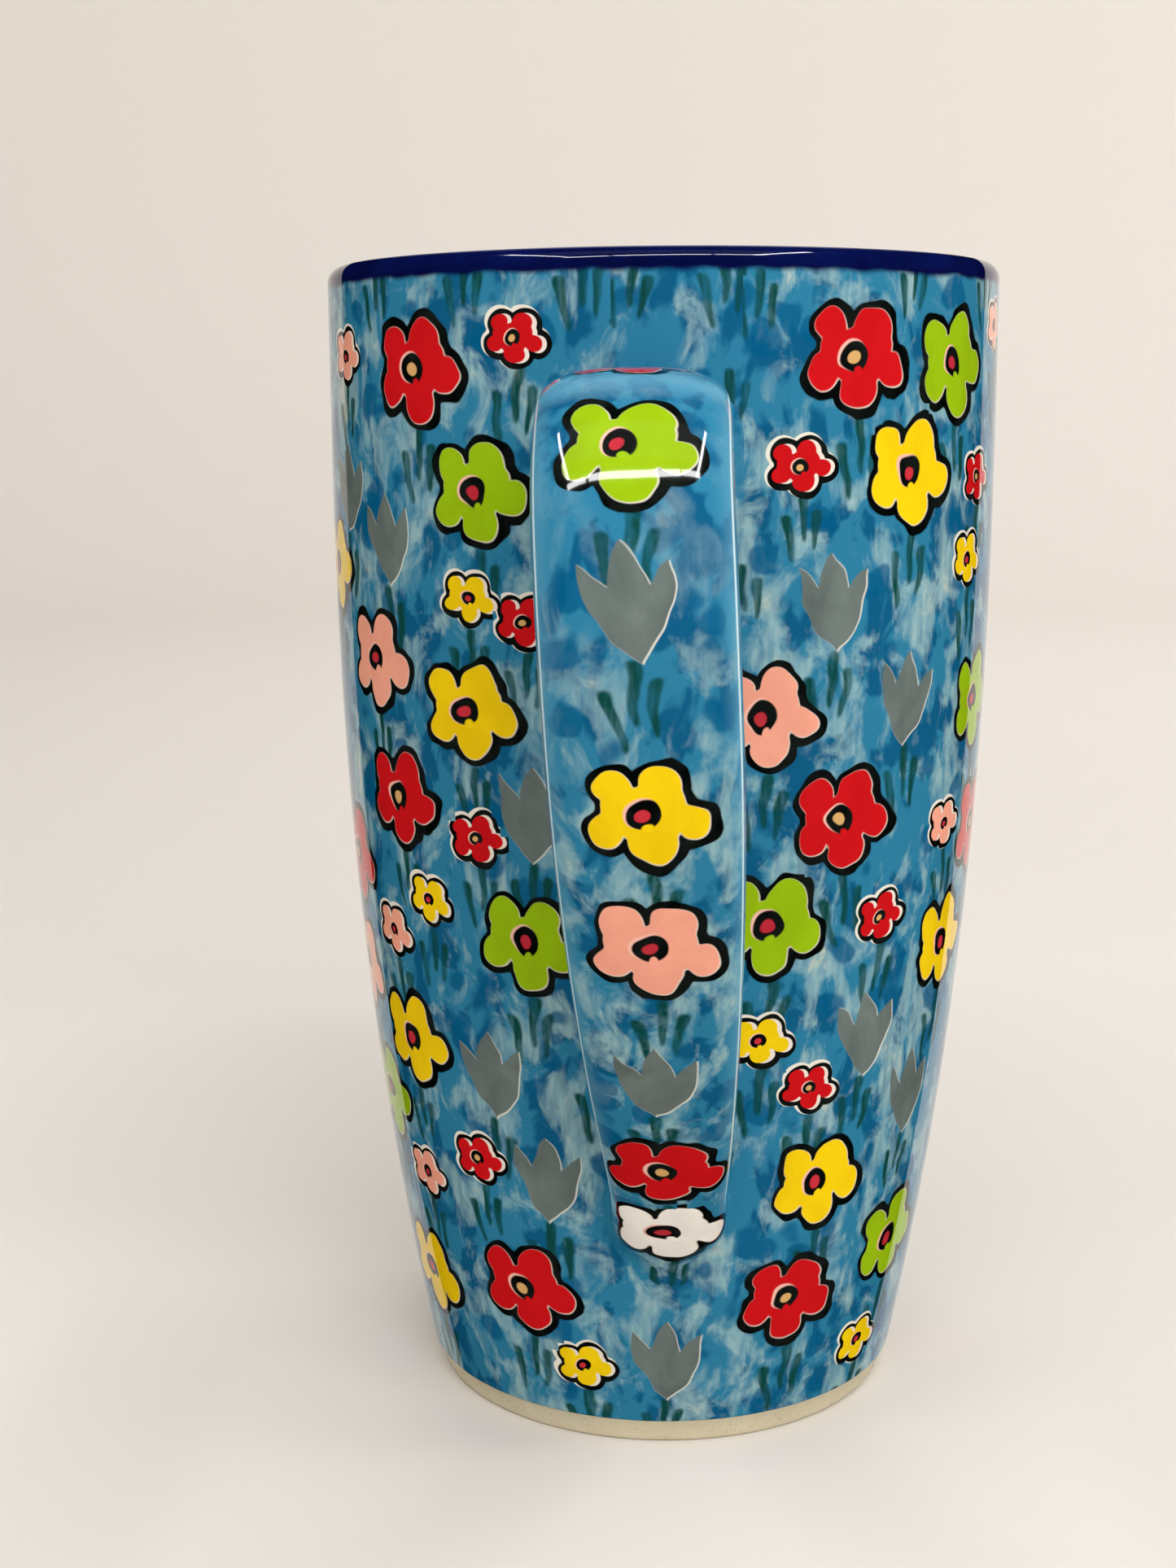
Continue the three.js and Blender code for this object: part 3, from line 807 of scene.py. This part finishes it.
tulip, given = new_group("tulip", [("Place", "NodeSocketVector")])
merged = None
for tip, half_width in BLADES:
    half_blade = (np.array(tip) - TULIP_FOOT) / 2
    length = np.hypot(*half_blade)
    radius = (length**2 + half_width**2) / (2 * half_width)
    across = np.array((-half_blade[1], half_blade[0])) / length * (radius - half_width)
    to_sides = [
        add(tulip, "ShaderNodeVectorMath", {0: given, 1: (*middle, 0)}, operation="DISTANCE")
        for middle in (TULIP_FOOT + half_blade + across, TULIP_FOOT + half_blade - across)
    ]
    shared = add(tulip, "ShaderNodeMath", {0: to_sides[0], 1: to_sides[1]}, operation="MAXIMUM")
    blade = add(tulip, "ShaderNodeMath", {0: shared, 1: radius}, operation="SUBTRACT")
    merged = blade if merged is None else add(
        tulip, "ShaderNodeMath", {0: merged, 1: blade, 2: 0.4}, operation="SMOOTH_MIN"
    )
add(tulip, "NodeGroupOutput", {"Distance": merged})

# %% [markdown]
# ### A leaf from one pull of the brush
#
# A leaf is a single stroke that starts broad and ends narrow. Along the stroke, its middle moves
# from one side to the other and its half width shrinks.

# %% A group that measures the distance to a brush stroke
stroke, given = new_group("leaf_stroke", [
    ("Place", "NodeSocketVector"), ("Top", "NodeSocketVector"), ("Bottom", "NodeSocketVector"),
])
place, top, bottom = (
    add(stroke, "ShaderNodeSeparateXYZ", {0: given.outputs[name]}) for name in ("Place", "Top", "Bottom")
)
pulled = add(stroke, "ShaderNodeMapRange", {
    "Value": place.outputs["Y"], "From Min": top.outputs["Y"], "From Max": bottom.outputs["Y"],
})
middle = add(stroke, "ShaderNodeMapRange", {
    "Value": pulled, "To Min": top.outputs["X"], "To Max": bottom.outputs["X"],
})
half_width = add(stroke, "ShaderNodeMapRange", {"Value": pulled, "To Min": 0.75, "To Max": 0.3})
sideways = add(stroke, "ShaderNodeMath", {0: place.outputs["X"], 1: middle}, operation="SUBTRACT")
sideways = add(stroke, "ShaderNodeMath", {0: sideways}, operation="ABSOLUTE")
beside = add(stroke, "ShaderNodeMath", {0: sideways, 1: half_width}, operation="SUBTRACT")
over = add(stroke, "ShaderNodeMath", {0: place.outputs["Y"], 1: top.outputs["Y"]}, operation="SUBTRACT")
under = add(
    stroke, "ShaderNodeMath", {0: bottom.outputs["Y"], 1: place.outputs["Y"]}, operation="SUBTRACT"
)
ends = add(stroke, "ShaderNodeMath", {0: over, 1: under}, operation="MAXIMUM")
whole = add(stroke, "ShaderNodeMath", {0: beside, 1: ends, 2: 1.2}, operation="SMOOTH_MAX")
add(stroke, "NodeGroupOutput", {"Distance": whole})
print("drawing groups:", [g.name for g in bpy.data.node_groups])

# %% [markdown]
# ### Underglaze painting under a clear glaze
#
# The colours are ceramic underglaze paints on raw clay, so they are flat and matt themselves, and
# the clear glaze over them gives the shine: one smooth surface with an index of refraction of
# about 1.5 and almost no roughness, which waves slightly, as a glaze that has run does. The ground
# is dabbed and pulled with a wide brush: patches 4 to 8 mm across of a deep and a pale blue, with
# streaks along the brush. On the strap's upper part the ground is darker: fewer pale dabs show.

# %% The brushed blue ground
painting, tree = new_material("underglaze_painting_under_clear_glaze")
mm = millimetres(tree)
pulled_down = add(tree, "ShaderNodeMapping", {"Vector": mm, "Scale": (1, 1, 0.65)})
patches = add(tree, "ShaderNodeTexNoise", {
    "Vector": pulled_down, "Scale": 1 / 5.5, "Detail": 3, "Roughness": 0.55, "Distortion": 0.5,
})
pale_patches = add(tree, "ShaderNodeTexNoise", {
    "Vector": add(tree, "ShaderNodeMapping", {"Vector": pulled_down, "Location": (37, 11, 5)}),
    "Scale": 1 / 5, "Detail": 4, "Roughness": 0.6, "Distortion": 0.5,
})
streak_place = add(tree, "ShaderNodeMapping", {"Vector": mm, "Scale": (1, 1, 0.15)})
streaks = add(tree, "ShaderNodeTexNoise", {
    "Vector": streak_place, "Scale": 1 / 0.9, "Detail": 2, "Roughness": 0.5,
})
COVERS = [
    (patches, 0.49, 0.58, 0.85), (pale_patches, 0.46, 0.62, 0.95), (pale_patches, 0.63, 0.75, 0.8),
]  # noise, where the paint starts and is full, and how much it covers
deep, pale, cream = (
    add(tree, "ShaderNodeMapRange", {
        "Value": noise, "From Min": starts, "From Max": full, "To Max": cover,
    }, interpolation_type="SMOOTHSTEP")
    for noise, starts, full, cover in COVERS
)
streaked = add(tree, "ShaderNodeMapRange", {
    "Value": streaks, "From Min": 0.35, "From Max": 0.65, "To Min": 0.55, "To Max": 1.0,
})
pale = add(tree, "ShaderNodeMath", {0: pale, 1: streaked}, operation="MULTIPLY")
# The pale and cream dabs are held back where the ground is made darker, on the strap's upper part.
darker_upper_share = add(tree, "ShaderNodeAttribute", attribute_name="darker_upper_ground").outputs["Fac"]
let_through = add(tree, "ShaderNodeMath", {0: darker_upper_share, 1: -0.8, 2: 1.0}, operation="MULTIPLY_ADD")
pale = add(tree, "ShaderNodeMath", {0: pale, 1: let_through}, operation="MULTIPLY")
cream = add(tree, "ShaderNodeMath", {0: cream, 1: let_through}, operation="MULTIPLY")
wobble = add(tree, "ShaderNodeTexNoise", {"Vector": mm, "Scale": 1 / 3.6, "Detail": 0.5})
wobble = add(tree, "ShaderNodeVectorMath", {
    0: wobble.outputs["Color"], 1: (0.5, 0.5, 0.5),
}, operation="SUBTRACT")
dab_place = add(tree, "ShaderNodeVectorMath", {
    0: wobble, 1: (3.5, 3.5, 3.5), 2: mm,
}, operation="MULTIPLY_ADD")
dabs = add(tree, "ShaderNodeTexVoronoi", {"Vector": dab_place, "Scale": 1 / 7})
dab_edge = add(tree, "ShaderNodeMapRange", {
    "Value": dabs.outputs["Distance"], "From Min": 0.33, "From Max": 0.23, "To Max": 0.8,
}, interpolation_type="SMOOTHSTEP")

# %% [markdown]
# The drawn edges would be too clean, so all places are shifted a little by a coarse noise before
# they are measured, as the dabs were. The outline was pulled round each flower afterwards, a bit
# off the fill, so it is measured from a shifted place, and the bare slip shows as a pale sliver
# between the two. A small flower has a pale halo round it as well.

# %% Where the brush wobbles, and the flower's distances
flower_map = add(tree, "ShaderNodeUVMap", uv_map="flower_mm")
flower = add(tree, "ShaderNodeVectorMath", {
    0: wobble, 1: (1.6, 1.6, 0), 2: flower_map,
}, operation="MULTIPLY_ADD")
flower = add(tree, "ShaderNodeVectorMath", {0: flower, 1: (1, 1, 0)}, operation="MULTIPLY")
petal_paint = add(tree, "ShaderNodeAttribute", attribute_name="petal_paint")
dot_paint = add(tree, "ShaderNodeAttribute", attribute_name="dot_paint")
kind = petal_paint.outputs["Alpha"]
is_tulip = add(tree, "ShaderNodeMath", {0: kind, 1: 0.75}, operation="GREATER_THAN")
is_flower = add(tree, "ShaderNodeMath", {0: kind, 1: 0.75}, operation="LESS_THAN")
is_small = add(tree, "ShaderNodeMath", {0: kind, 1: 0.5, 2: 0.1}, operation="COMPARE")
SOFT = {"From Min": 0.09, "From Max": -0.09}  # a paint edge fades over this many millimetres


def flower_mask(off_big, off_small, grow_big, grow_small, fewer=None):
    """Where the petals are, shifted and grown by other amounts on big and small flowers."""
    shift = add(tree, "ShaderNodeMix", {
        "Factor": is_small, "A": (*off_big, 0), "B": (*off_small, 0),
    }, data_type="VECTOR")
    place = add(tree, "ShaderNodeVectorMath", {0: flower, 1: shift}, operation="SUBTRACT")
    distance = add(tree, "ShaderNodeGroup", {"Place": place}, node_tree=petals)
    grown = add(tree, "ShaderNodeMix", {"Factor": is_small, "A": grow_big, "B": grow_small})
    distance = add(tree, "ShaderNodeMath", {0: distance, 1: grown}, operation="SUBTRACT")
    if fewer:
        distance = add(tree, "ShaderNodeMath", {0: distance, 1: fewer}, operation="ADD")
    mask = add(tree, "ShaderNodeMapRange", {"Value": distance, **SOFT})
    return add(tree, "ShaderNodeMath", {0: mask, 1: is_flower}, operation="MULTIPLY")


uneven = add(tree, "ShaderNodeTexNoise", {"Vector": mm, "Scale": 1 / 3, "Detail": 0})
thinner = add(tree, "ShaderNodeMapRange", {
    "Value": uneven, "From Min": 0.35, "From Max": 0.65, "To Min": -0.15, "To Max": 0.2,
})
NOWHERE = -9  # shrinks a flower to nothing
halo = flower_mask((0, 0), (-0.35, 0.35), NOWHERE, 1.6)
outline = flower_mask((0.18, -0.08), (0.1, -0.1), 1.0, 1.35, thinner)
bare = flower_mask((0.05, -0.03), (0.4, 0.1), 0.0, -0.05)
fill = flower_mask((-0.03, 0.03), (-0.5, 0.15), -0.04, -0.15)

# %% [markdown]
# In the middle of each flower sits a dark ring with a dot of another colour, and the ring is open
# at one place, where the brush came off.

# %% The ring and dot, the tulip and the leaves
RING_PARTS = [
    ((-1.3, 0.35, 0), 1.9), ((-1.0, 0.2, 0), 1.85), ((-1.15, 0.1, 0), 0.8), ((-0.5, -1.5, 0), 0.55),
]  # middle and radius of the pale ring, the dark ring, the dot and the gap
rings = []
for middle, radius in RING_PARTS:
    distance = add(tree, "ShaderNodeVectorMath", {0: flower, 1: middle}, operation="DISTANCE")
    inside = add(tree, "ShaderNodeMath", {0: distance, 1: radius}, operation="SUBTRACT")
    inside = add(tree, "ShaderNodeMapRange", {"Value": inside, **SOFT})
    rings.append(add(tree, "ShaderNodeMath", {0: inside, 1: is_flower}, operation="MULTIPLY"))
pale_ring, dark_ring, dot, gap = rings

tulip_masks = []
for shift in ((0.14, -0.1, 0), (0, 0, 0)):
    place = add(tree, "ShaderNodeVectorMath", {0: flower, 1: shift}, operation="SUBTRACT")
    distance = add(tree, "ShaderNodeGroup", {"Place": place}, node_tree=tulip)
    mask = add(tree, "ShaderNodeMapRange", {"Value": distance, **SOFT})
    tulip_masks.append(add(tree, "ShaderNodeMath", {0: mask, 1: is_tulip}, operation="MULTIPLY"))
tulip_bare, tulip_fill = tulip_masks

leaf_map = add(tree, "ShaderNodeUVMap", uv_map="leaf_mm")
leaf_place = add(tree, "ShaderNodeVectorMath", {
    0: wobble, 1: (1.4, 0.6, 0), 2: leaf_map,
}, operation="MULTIPLY_ADD")
LEAVES = [
    ((0, 0, 0), (-0.2, -6.4, 0)), ((-2.9, -2.6, 0), (-1.7, -9.0, 0)), ((2.0, -1.9, 0), (1.3, -7.6, 0)),
]  # top, bottom
leaf = None
for top_at, bottom_at in LEAVES:
    distance = add(tree, "ShaderNodeGroup", {
        "Place": leaf_place, "Top": top_at, "Bottom": bottom_at,
    }, node_tree=stroke)
    leaf = distance if leaf is None else add(
        tree, "ShaderNodeMath", {0: leaf, 1: distance}, operation="MINIMUM"
    )
leaf = add(tree, "ShaderNodeMapRange", {
    "Value": leaf, "From Min": 0.25, "From Max": -0.2,
}, interpolation_type="SMOOTHSTEP")
leaf_cover = add(tree, "ShaderNodeMapRange", {
    "Value": streaks, "From Min": 0.3, "From Max": 0.6, "To Min": 0.6, "To Max": 1.0,
})
leaf = add(tree, "ShaderNodeMath", {0: leaf, 1: leaf_cover}, operation="MULTIPLY")

# %% [markdown]
# The paints are laid over each other in the painter's order: ground, dabs, leaves, then the
# flowers from the bare slip to the dot. At the top, the edge of the cobalt band runs into the
# painted wall a little. Last comes the painted sheen on the strap.

# %% Lay the paints over each other and glaze them
height_up = add(tree, "ShaderNodeSeparateXYZ", {0: mm}).outputs["Z"]
band_edge = add(tree, "ShaderNodeMath", {0: uneven, 1: 0.7, 2: height_up}, operation="MULTIPLY_ADD")
band_edge = add(tree, "ShaderNodeMapRange", {
    "Value": band_edge, "From Min": BAND_BOTTOM - 0.55, "From Max": BAND_BOTTOM + 0.25,
}, interpolation_type="SMOOTHSTEP")
washed = add(tree, "ShaderNodeMapRange", {
    "Value": patches, "From Min": 0.4, "From Max": 0.62, "To Min": 0.0, "To Max": 0.35,
})
fill_paint = add(tree, "ShaderNodeMix", {
    "Factor": washed, "A": petal_paint.outputs["Color"],
    "B": add(tree, "ShaderNodeVectorMath", {
        0: petal_paint.outputs["Color"], 1: (0.78, 0.7, 0.7),
    }, operation="MULTIPLY"),
}, data_type="RGBA")
# Painted sheen on the strap: a pale line along its edges, and a lighter blue beside them and on the
# shoulder.
sheen_line_mask = add(tree, "ShaderNodeMapRange", {
    "Value": dot_paint.outputs["Alpha"], "From Min": 0.5, "From Max": 0.85, "To Max": 0.9,
}, interpolation_type="SMOOTHSTEP")
sheen_blue_mask = add(tree, "ShaderNodeMapRange", {
    "Value": dot_paint.outputs["Alpha"], "From Max": 0.5, "To Max": 0.45,
})
tulip_paint = add(tree, "ShaderNodeMix", {
    "Factor": patches, "A": linear("#7a8682"), "B": linear("#434d4c"),
}, data_type="RGBA")
ink = add(tree, "ShaderNodeMix", {
    "Factor": washed, "A": linear("#050807"), "B": linear("#242a27"),
}, data_type="RGBA")
surface = linear("#2b7799")
# The light blue #78b9d6 and the pale #d3ecf2 are painted sheen on the strap's edges and shoulder.
PAINT_LAYERS = [
    (linear("#054f78"), deep), (linear("#8cb0b6"), pale), (linear("#b9c2b4"), cream),
    (linear("#03557f"), dab_edge), (linear("#78b9d6"), sheen_blue_mask), (linear("#0f4340"), leaf),
    (linear("#e2ddd0"), halo), (ink, outline), (linear("#e6d9cd"), bare), (fill_paint, fill),
    (linear("#efb9aa"), pale_ring), (ink, dark_ring), (dot_paint.outputs["Color"], dot),
    (petal_paint.outputs["Color"], gap),
    (linear("#dcdccf"), tulip_bare), (tulip_paint, tulip_fill), (linear("#07093c"), band_edge),
    (linear("#d3ecf2"), sheen_line_mask),
]
for paint, mask in PAINT_LAYERS:
    surface = add(tree, "ShaderNodeMix", {"Factor": mask, "A": surface, "B": paint}, data_type="RGBA")


def glazed(tree, colour, roughness=0.06):
    """A clear stoneware glaze over a colour, with the slight waves of a glaze that has run."""
    place = millimetres(tree)
    waves = add(tree, "ShaderNodeTexNoise", {"Vector": place, "Scale": 1 / 7, "Detail": 2})
    bump = add(tree, "ShaderNodeBump", {"Height": waves, "Strength": 1.0, "Distance": 0.00003})
    shader = add(tree, "ShaderNodeBsdfPrincipled", {
        "Base Color": colour, "Roughness": roughness, "IOR": 1.5, "Normal": bump,
    })
    add(tree, "ShaderNodeOutputMaterial", {"Surface": shader})


glazed(tree, surface)
print("nodes in the painting:", len(tree.nodes))

# %% [markdown]
# ### Cobalt glaze on the lip
#
# Cobalt gives a blue that is nearly black where it lies thick. Over the crest of the lip the
# colour turns paler, in a thin pale line.

# %% Cobalt, plain glazes, bare stoneware and slip
cobalt, tree = new_material("cobalt_stoneware_glaze")
mm = millimetres(tree)
pooled = add(tree, "ShaderNodeTexNoise", {"Vector": mm, "Scale": 1 / 5, "Detail": 3})
height_up = add(tree, "ShaderNodeSeparateXYZ", {0: mm}).outputs["Z"]
# Paler over the top quarter millimetre of the lip.
crest = add(tree, "ShaderNodeMapRange", {
    "Value": height_up, "From Min": HEIGHT - 0.25, "From Max": HEIGHT, "To Max": 0.7,
}, interpolation_type="SMOOTHSTEP")
blue = linear("#02031f")
for paint, mask in (("#081452", pooled), ("#8e93b8", crest)):
    blue = add(tree, "ShaderNodeMix", {"Factor": mask, "A": blue, "B": linear(paint)}, data_type="RGBA")
glazed(tree, blue)


def plain_glaze(name, light, dark):
    """A clear glaze over bare clay: the clay's colour with small iron specks."""
    material, tree = new_material(name)
    mm = millimetres(tree)
    clouds = add(tree, "ShaderNodeTexNoise", {"Vector": mm, "Scale": 1 / 14, "Detail": 4})
    specks = add(tree, "ShaderNodeTexVoronoi", {"Vector": mm, "Scale": 1 / 2.6})
    specks = add(tree, "ShaderNodeMapRange", {
        "Value": specks.outputs["Distance"], "From Min": 0.1, "From Max": 0.05, "To Max": 0.5,
    })
    tone = linear(light)
    for clay, mask in ((dark, clouds), ("#8a6f4c", specks)):
        tone = add(tree, "ShaderNodeMix", {"Factor": mask, "A": tone, "B": linear(clay)}, data_type="RGBA")
    glazed(tree, tone, roughness=0.1)
    return material


def bare_clay(name, light, dark, roughness):
    """Fired clay without glaze: matt, with grog, which is fine grit, in the body."""
    material, tree = new_material(name)
    mm = millimetres(tree)
    clouds = add(tree, "ShaderNodeTexNoise", {"Vector": mm, "Scale": 1 / 6, "Detail": 4})
    grit = add(tree, "ShaderNodeTexNoise", {"Vector": mm, "Scale": 1 / 0.35, "Detail": 3})
    grains = add(tree, "ShaderNodeMapRange", {
        "Value": grit, "From Min": 0.6, "From Max": 0.72, "To Max": 0.5,
    })
    tone = linear(light)
    for clay, mask in ((dark, clouds), ("#8d7c5f", grains)):
        tone = add(tree, "ShaderNodeMix", {"Factor": mask, "A": tone, "B": linear(clay)}, data_type="RGBA")
    bump = add(tree, "ShaderNodeBump", {"Height": grit, "Strength": 1.0, "Distance": 0.00008})
    shader = add(tree, "ShaderNodeBsdfPrincipled", {
        "Base Color": tone, "Roughness": roughness, "Normal": bump,
    })
    add(tree, "ShaderNodeOutputMaterial", {"Surface": shader})
    return material


liner = plain_glaze("clear_liner_glaze", "#ece7da", "#ddd5c2")
base = plain_glaze("clear_base_glaze", "#ddd3bd", "#cbbfa4")
stoneware = bare_clay("bare_fired_stoneware", "#d8cfb5", "#c3b89b", 0.85)
slip = bare_clay("fired_joining_slip", "#b5aa8d", "#9f9376", 0.9)

# %% [markdown]
# ## Put the pieces in the frame
#
# Each piece gets its material, hides the imported node that it stands for, and rides on the
# mug's one body.

# %% Materials, slots and bodies
FINISHES = [
    (cup_clay, "clay_cup", stoneware, "stoneware"),
    (painted_coat, "outer_glaze", painting, "painted_glaze"),
    (cobalt_band, "rim_glaze", cobalt, "cobalt_glaze"),
    (liner_coat, "liner_glaze", liner, "liner_glaze"),
    (base_coat, "base_glaze", base, "base_glaze"),
    (handle_clay, "clay_handle", stoneware, "stoneware"),
    (handle_coat, "handle_glaze", painting, "painted_glaze"),
    (upper_slip, "upper_slip_joint", slip, "slip_clay"),
    (lower_slip, "lower_slip_joint", slip, "slip_clay"),
]
for piece, node_name, material, slot in FINISHES:
    piece.data.materials.clear()
    piece.data.materials.append(material)
    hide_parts(node_name)
    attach(piece, "root")

# %% [markdown]
# ## The studio
#
# The mug stands on a round, seamless sweep: a pale floor whose edge curves up into a wall all
# round, so that no horizon shows from any side. It is turned in the same way as the cup. Narrow
# bars of light above the mug draw the white streaks on the lip and on the handle's shoulder: three
# end to end in front, and one at each side. A wide panel lights the mug evenly, and four more wash
# the sweep's wall, all without highlights. A pale ceiling shows only as a soft sheen.

# %% Floor, backdrop and lights
SWEEP_FLOOR = 1100
SWEEP_CORNER = 500
SWEEP_HEIGHT = 1900
sweep_outline = [(0, 0), (150, 0), (400, 0), (SWEEP_FLOOR, 0)]
sweep_outline += arc((SWEEP_FLOOR, SWEEP_CORNER), SWEEP_CORNER, -84, 0, 14)
sweep_outline += [(SWEEP_FLOOR + SWEEP_CORNER, SWEEP_HEIGHT)]
sweep = turned("sweep", sweep_outline)
backdrop, tree = new_material("matt_paper_sweep")
shader = add(tree, "ShaderNodeBsdfPrincipled", {
    "Base Color": linear("#dfdad4"), "Roughness": 0.95, "Specular IOR Level": 0.1,
})
add(tree, "ShaderNodeOutputMaterial", {"Surface": shader})
sweep.data.materials.append(backdrop)
sweep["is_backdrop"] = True

world = bpy.data.worlds.new("room")
world.use_nodes = True
bpy.context.scene.world = world
world.node_tree.nodes["Background"].inputs["Color"].default_value = linear("#f4f3f0")
world.node_tree.nodes["Background"].inputs["Strength"].default_value = 0.25

BARS = [
    # name, place, aims at, width, length, watts, turn about its aim
    ("front_bar", (0.0, -0.35, 0.60), (0, 0, 0.10), 0.265, 0.044, 0.72, 9),
    ("front_bar_left", (-0.22, -0.379, 0.58), (-0.22, -0.029, 0.08), 0.15, 0.04, 0.37, 9),
    ("front_bar_right", (0.22, -0.321, 0.62), (0.22, 0.029, 0.12), 0.16, 0.04, 0.39, 9),
    ("left_bar", (-0.27, -0.16, 0.59), (-0.27, -0.16, 0), 0.024, 0.36, 0.6, 0),
    ("right_bar", (0.27, -0.16, 0.63), (0.27, -0.16, 0), 0.024, 0.36, 0.75, 0),
]
PANELS = [
    ("front_fill", (0.5, -1.1, 0.7), (0, 0, 0.08), 0.8, 0.8, 7.6, 0),
    ("back_wash", (0.3, 0.5, 1.2), (0.3, 1.6, 0.4), 1.2, 0.6, 11.0, 0),
    ("right_wash", (0.6, 0.0, 1.2), (1.6, 0.0, 0.4), 1.2, 0.6, 4.0, 0),
    ("left_wash", (-0.6, 0.0, 1.2), (-1.6, 0.0, 0.4), 1.2, 0.6, 1.2, 0),
    ("front_wash", (0.0, -0.6, 1.2), (0.0, -1.6, 0.4), 1.2, 0.6, 4.0, 0),
]
CEILING = [("ceiling_glow", (0.0, 0.65, 1.0), (0, 0.65, 0), 1.2, 1.0, 4.0, 0)]

for name, place, aim, width, length, watts, turn in BARS + PANELS + CEILING:
    data = bpy.data.lights.new(name, "AREA")
    data.shape = "RECTANGLE"
    data.size = width
    data.size_y = length
    data.energy = watts
    light = bpy.data.objects.new(name, data)
    light.location = place
    light.rotation_mode = "QUATERNION"
    aimed = (Vector(aim) - Vector(place)).to_track_quat("-Z", "Y")
    light.rotation_quaternion = aimed @ Quaternion((0, 0, 1), math.radians(turn))
    light.visible_glossy = not name.endswith(("fill", "wash"))
    light.visible_diffuse = name != "ceiling_glow"
    bpy.context.scene.collection.objects.link(light)
print("lights:", len(BARS), "bars and", len(PANELS), "panels")

# %% [markdown]
# A white room would lie on the glaze as haze and wash the colours out. Black cloth in front takes
# it away, as it does round glossy things in any studio: a sheet on the floor with its front and its
# two sides folded up, which only reflections can see. The pale back still shows in the glaze along
# the mug's two edges.

# %% Black cloth in front
CLOTH_FRONT = -0.47
CLOTH_WIDTH = 0.95
CLOTH_HEIGHT = 0.4
CLOTH_LIFT = 0.002  # clear of the sweep's floor
bpy.ops.object.select_all(action="DESELECT")
bpy.ops.mesh.primitive_plane_add(size=1)
cloth = bpy.context.object
cloth.name = "black_cloth"
bpy.ops.object.mode_set(mode="EDIT")
bpy.ops.mesh.select_all(action="SELECT")
bpy.ops.transform.resize(value=(CLOTH_WIDTH, -CLOTH_FRONT, 1))
bpy.ops.transform.translate(value=(0, CLOTH_FRONT / 2, CLOTH_LIFT))
for edge_x, edge_y in ((0, CLOTH_FRONT), (-CLOTH_WIDTH / 2, 0), (CLOTH_WIDTH / 2, 0)):
    bpy.ops.object.mode_set(mode="OBJECT")
    for edge in cloth.data.edges:
        ends = [cloth.data.vertices[v].co for v in edge.vertices]
        off_line = [abs(e.y - edge_y) if edge_x == 0 else abs(e.x - edge_x) for e in ends]
        edge.select = max(off_line) < 1e-6 and max(e.z for e in ends) < CLOTH_HEIGHT / 2
    bpy.ops.object.mode_set(mode="EDIT")
    bpy.ops.mesh.extrude_edges_move(TRANSFORM_OT_translate={"value": (0, 0, CLOTH_HEIGHT)})
bpy.ops.object.mode_set(mode="OBJECT")
black, tree = new_material("black_cloth")
shader = add(tree, "ShaderNodeBsdfDiffuse", {"Color": (0, 0, 0, 1)})
add(tree, "ShaderNodeOutputMaterial", {"Surface": shader})
cloth.data.materials.append(black)
cloth.visible_camera = False
cloth.visible_diffuse = False
cloth.visible_shadow = False
cloth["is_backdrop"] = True
print("faces of the cloth:", len(cloth.data.polygons))

# The plain view shows each paint in its own colour.
bpy.context.scene.view_settings.view_transform = "Standard"

# %% [markdown]
# ## Sizes of the finished model
#
# The looks must not change the mug's size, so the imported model's box and the finished one's are
# written side by side.

# %% Compare the boxes and finish
made_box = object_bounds()
boxes = {
    "cad": [list(corner) for corner in cad_box],
    "made": [list(corner) for corner in made_box],
}
for label, (low, high) in boxes.items():
    print(label, "box in mm:", [round((h - l) / MM, 2) for l, h in zip(low, high)])
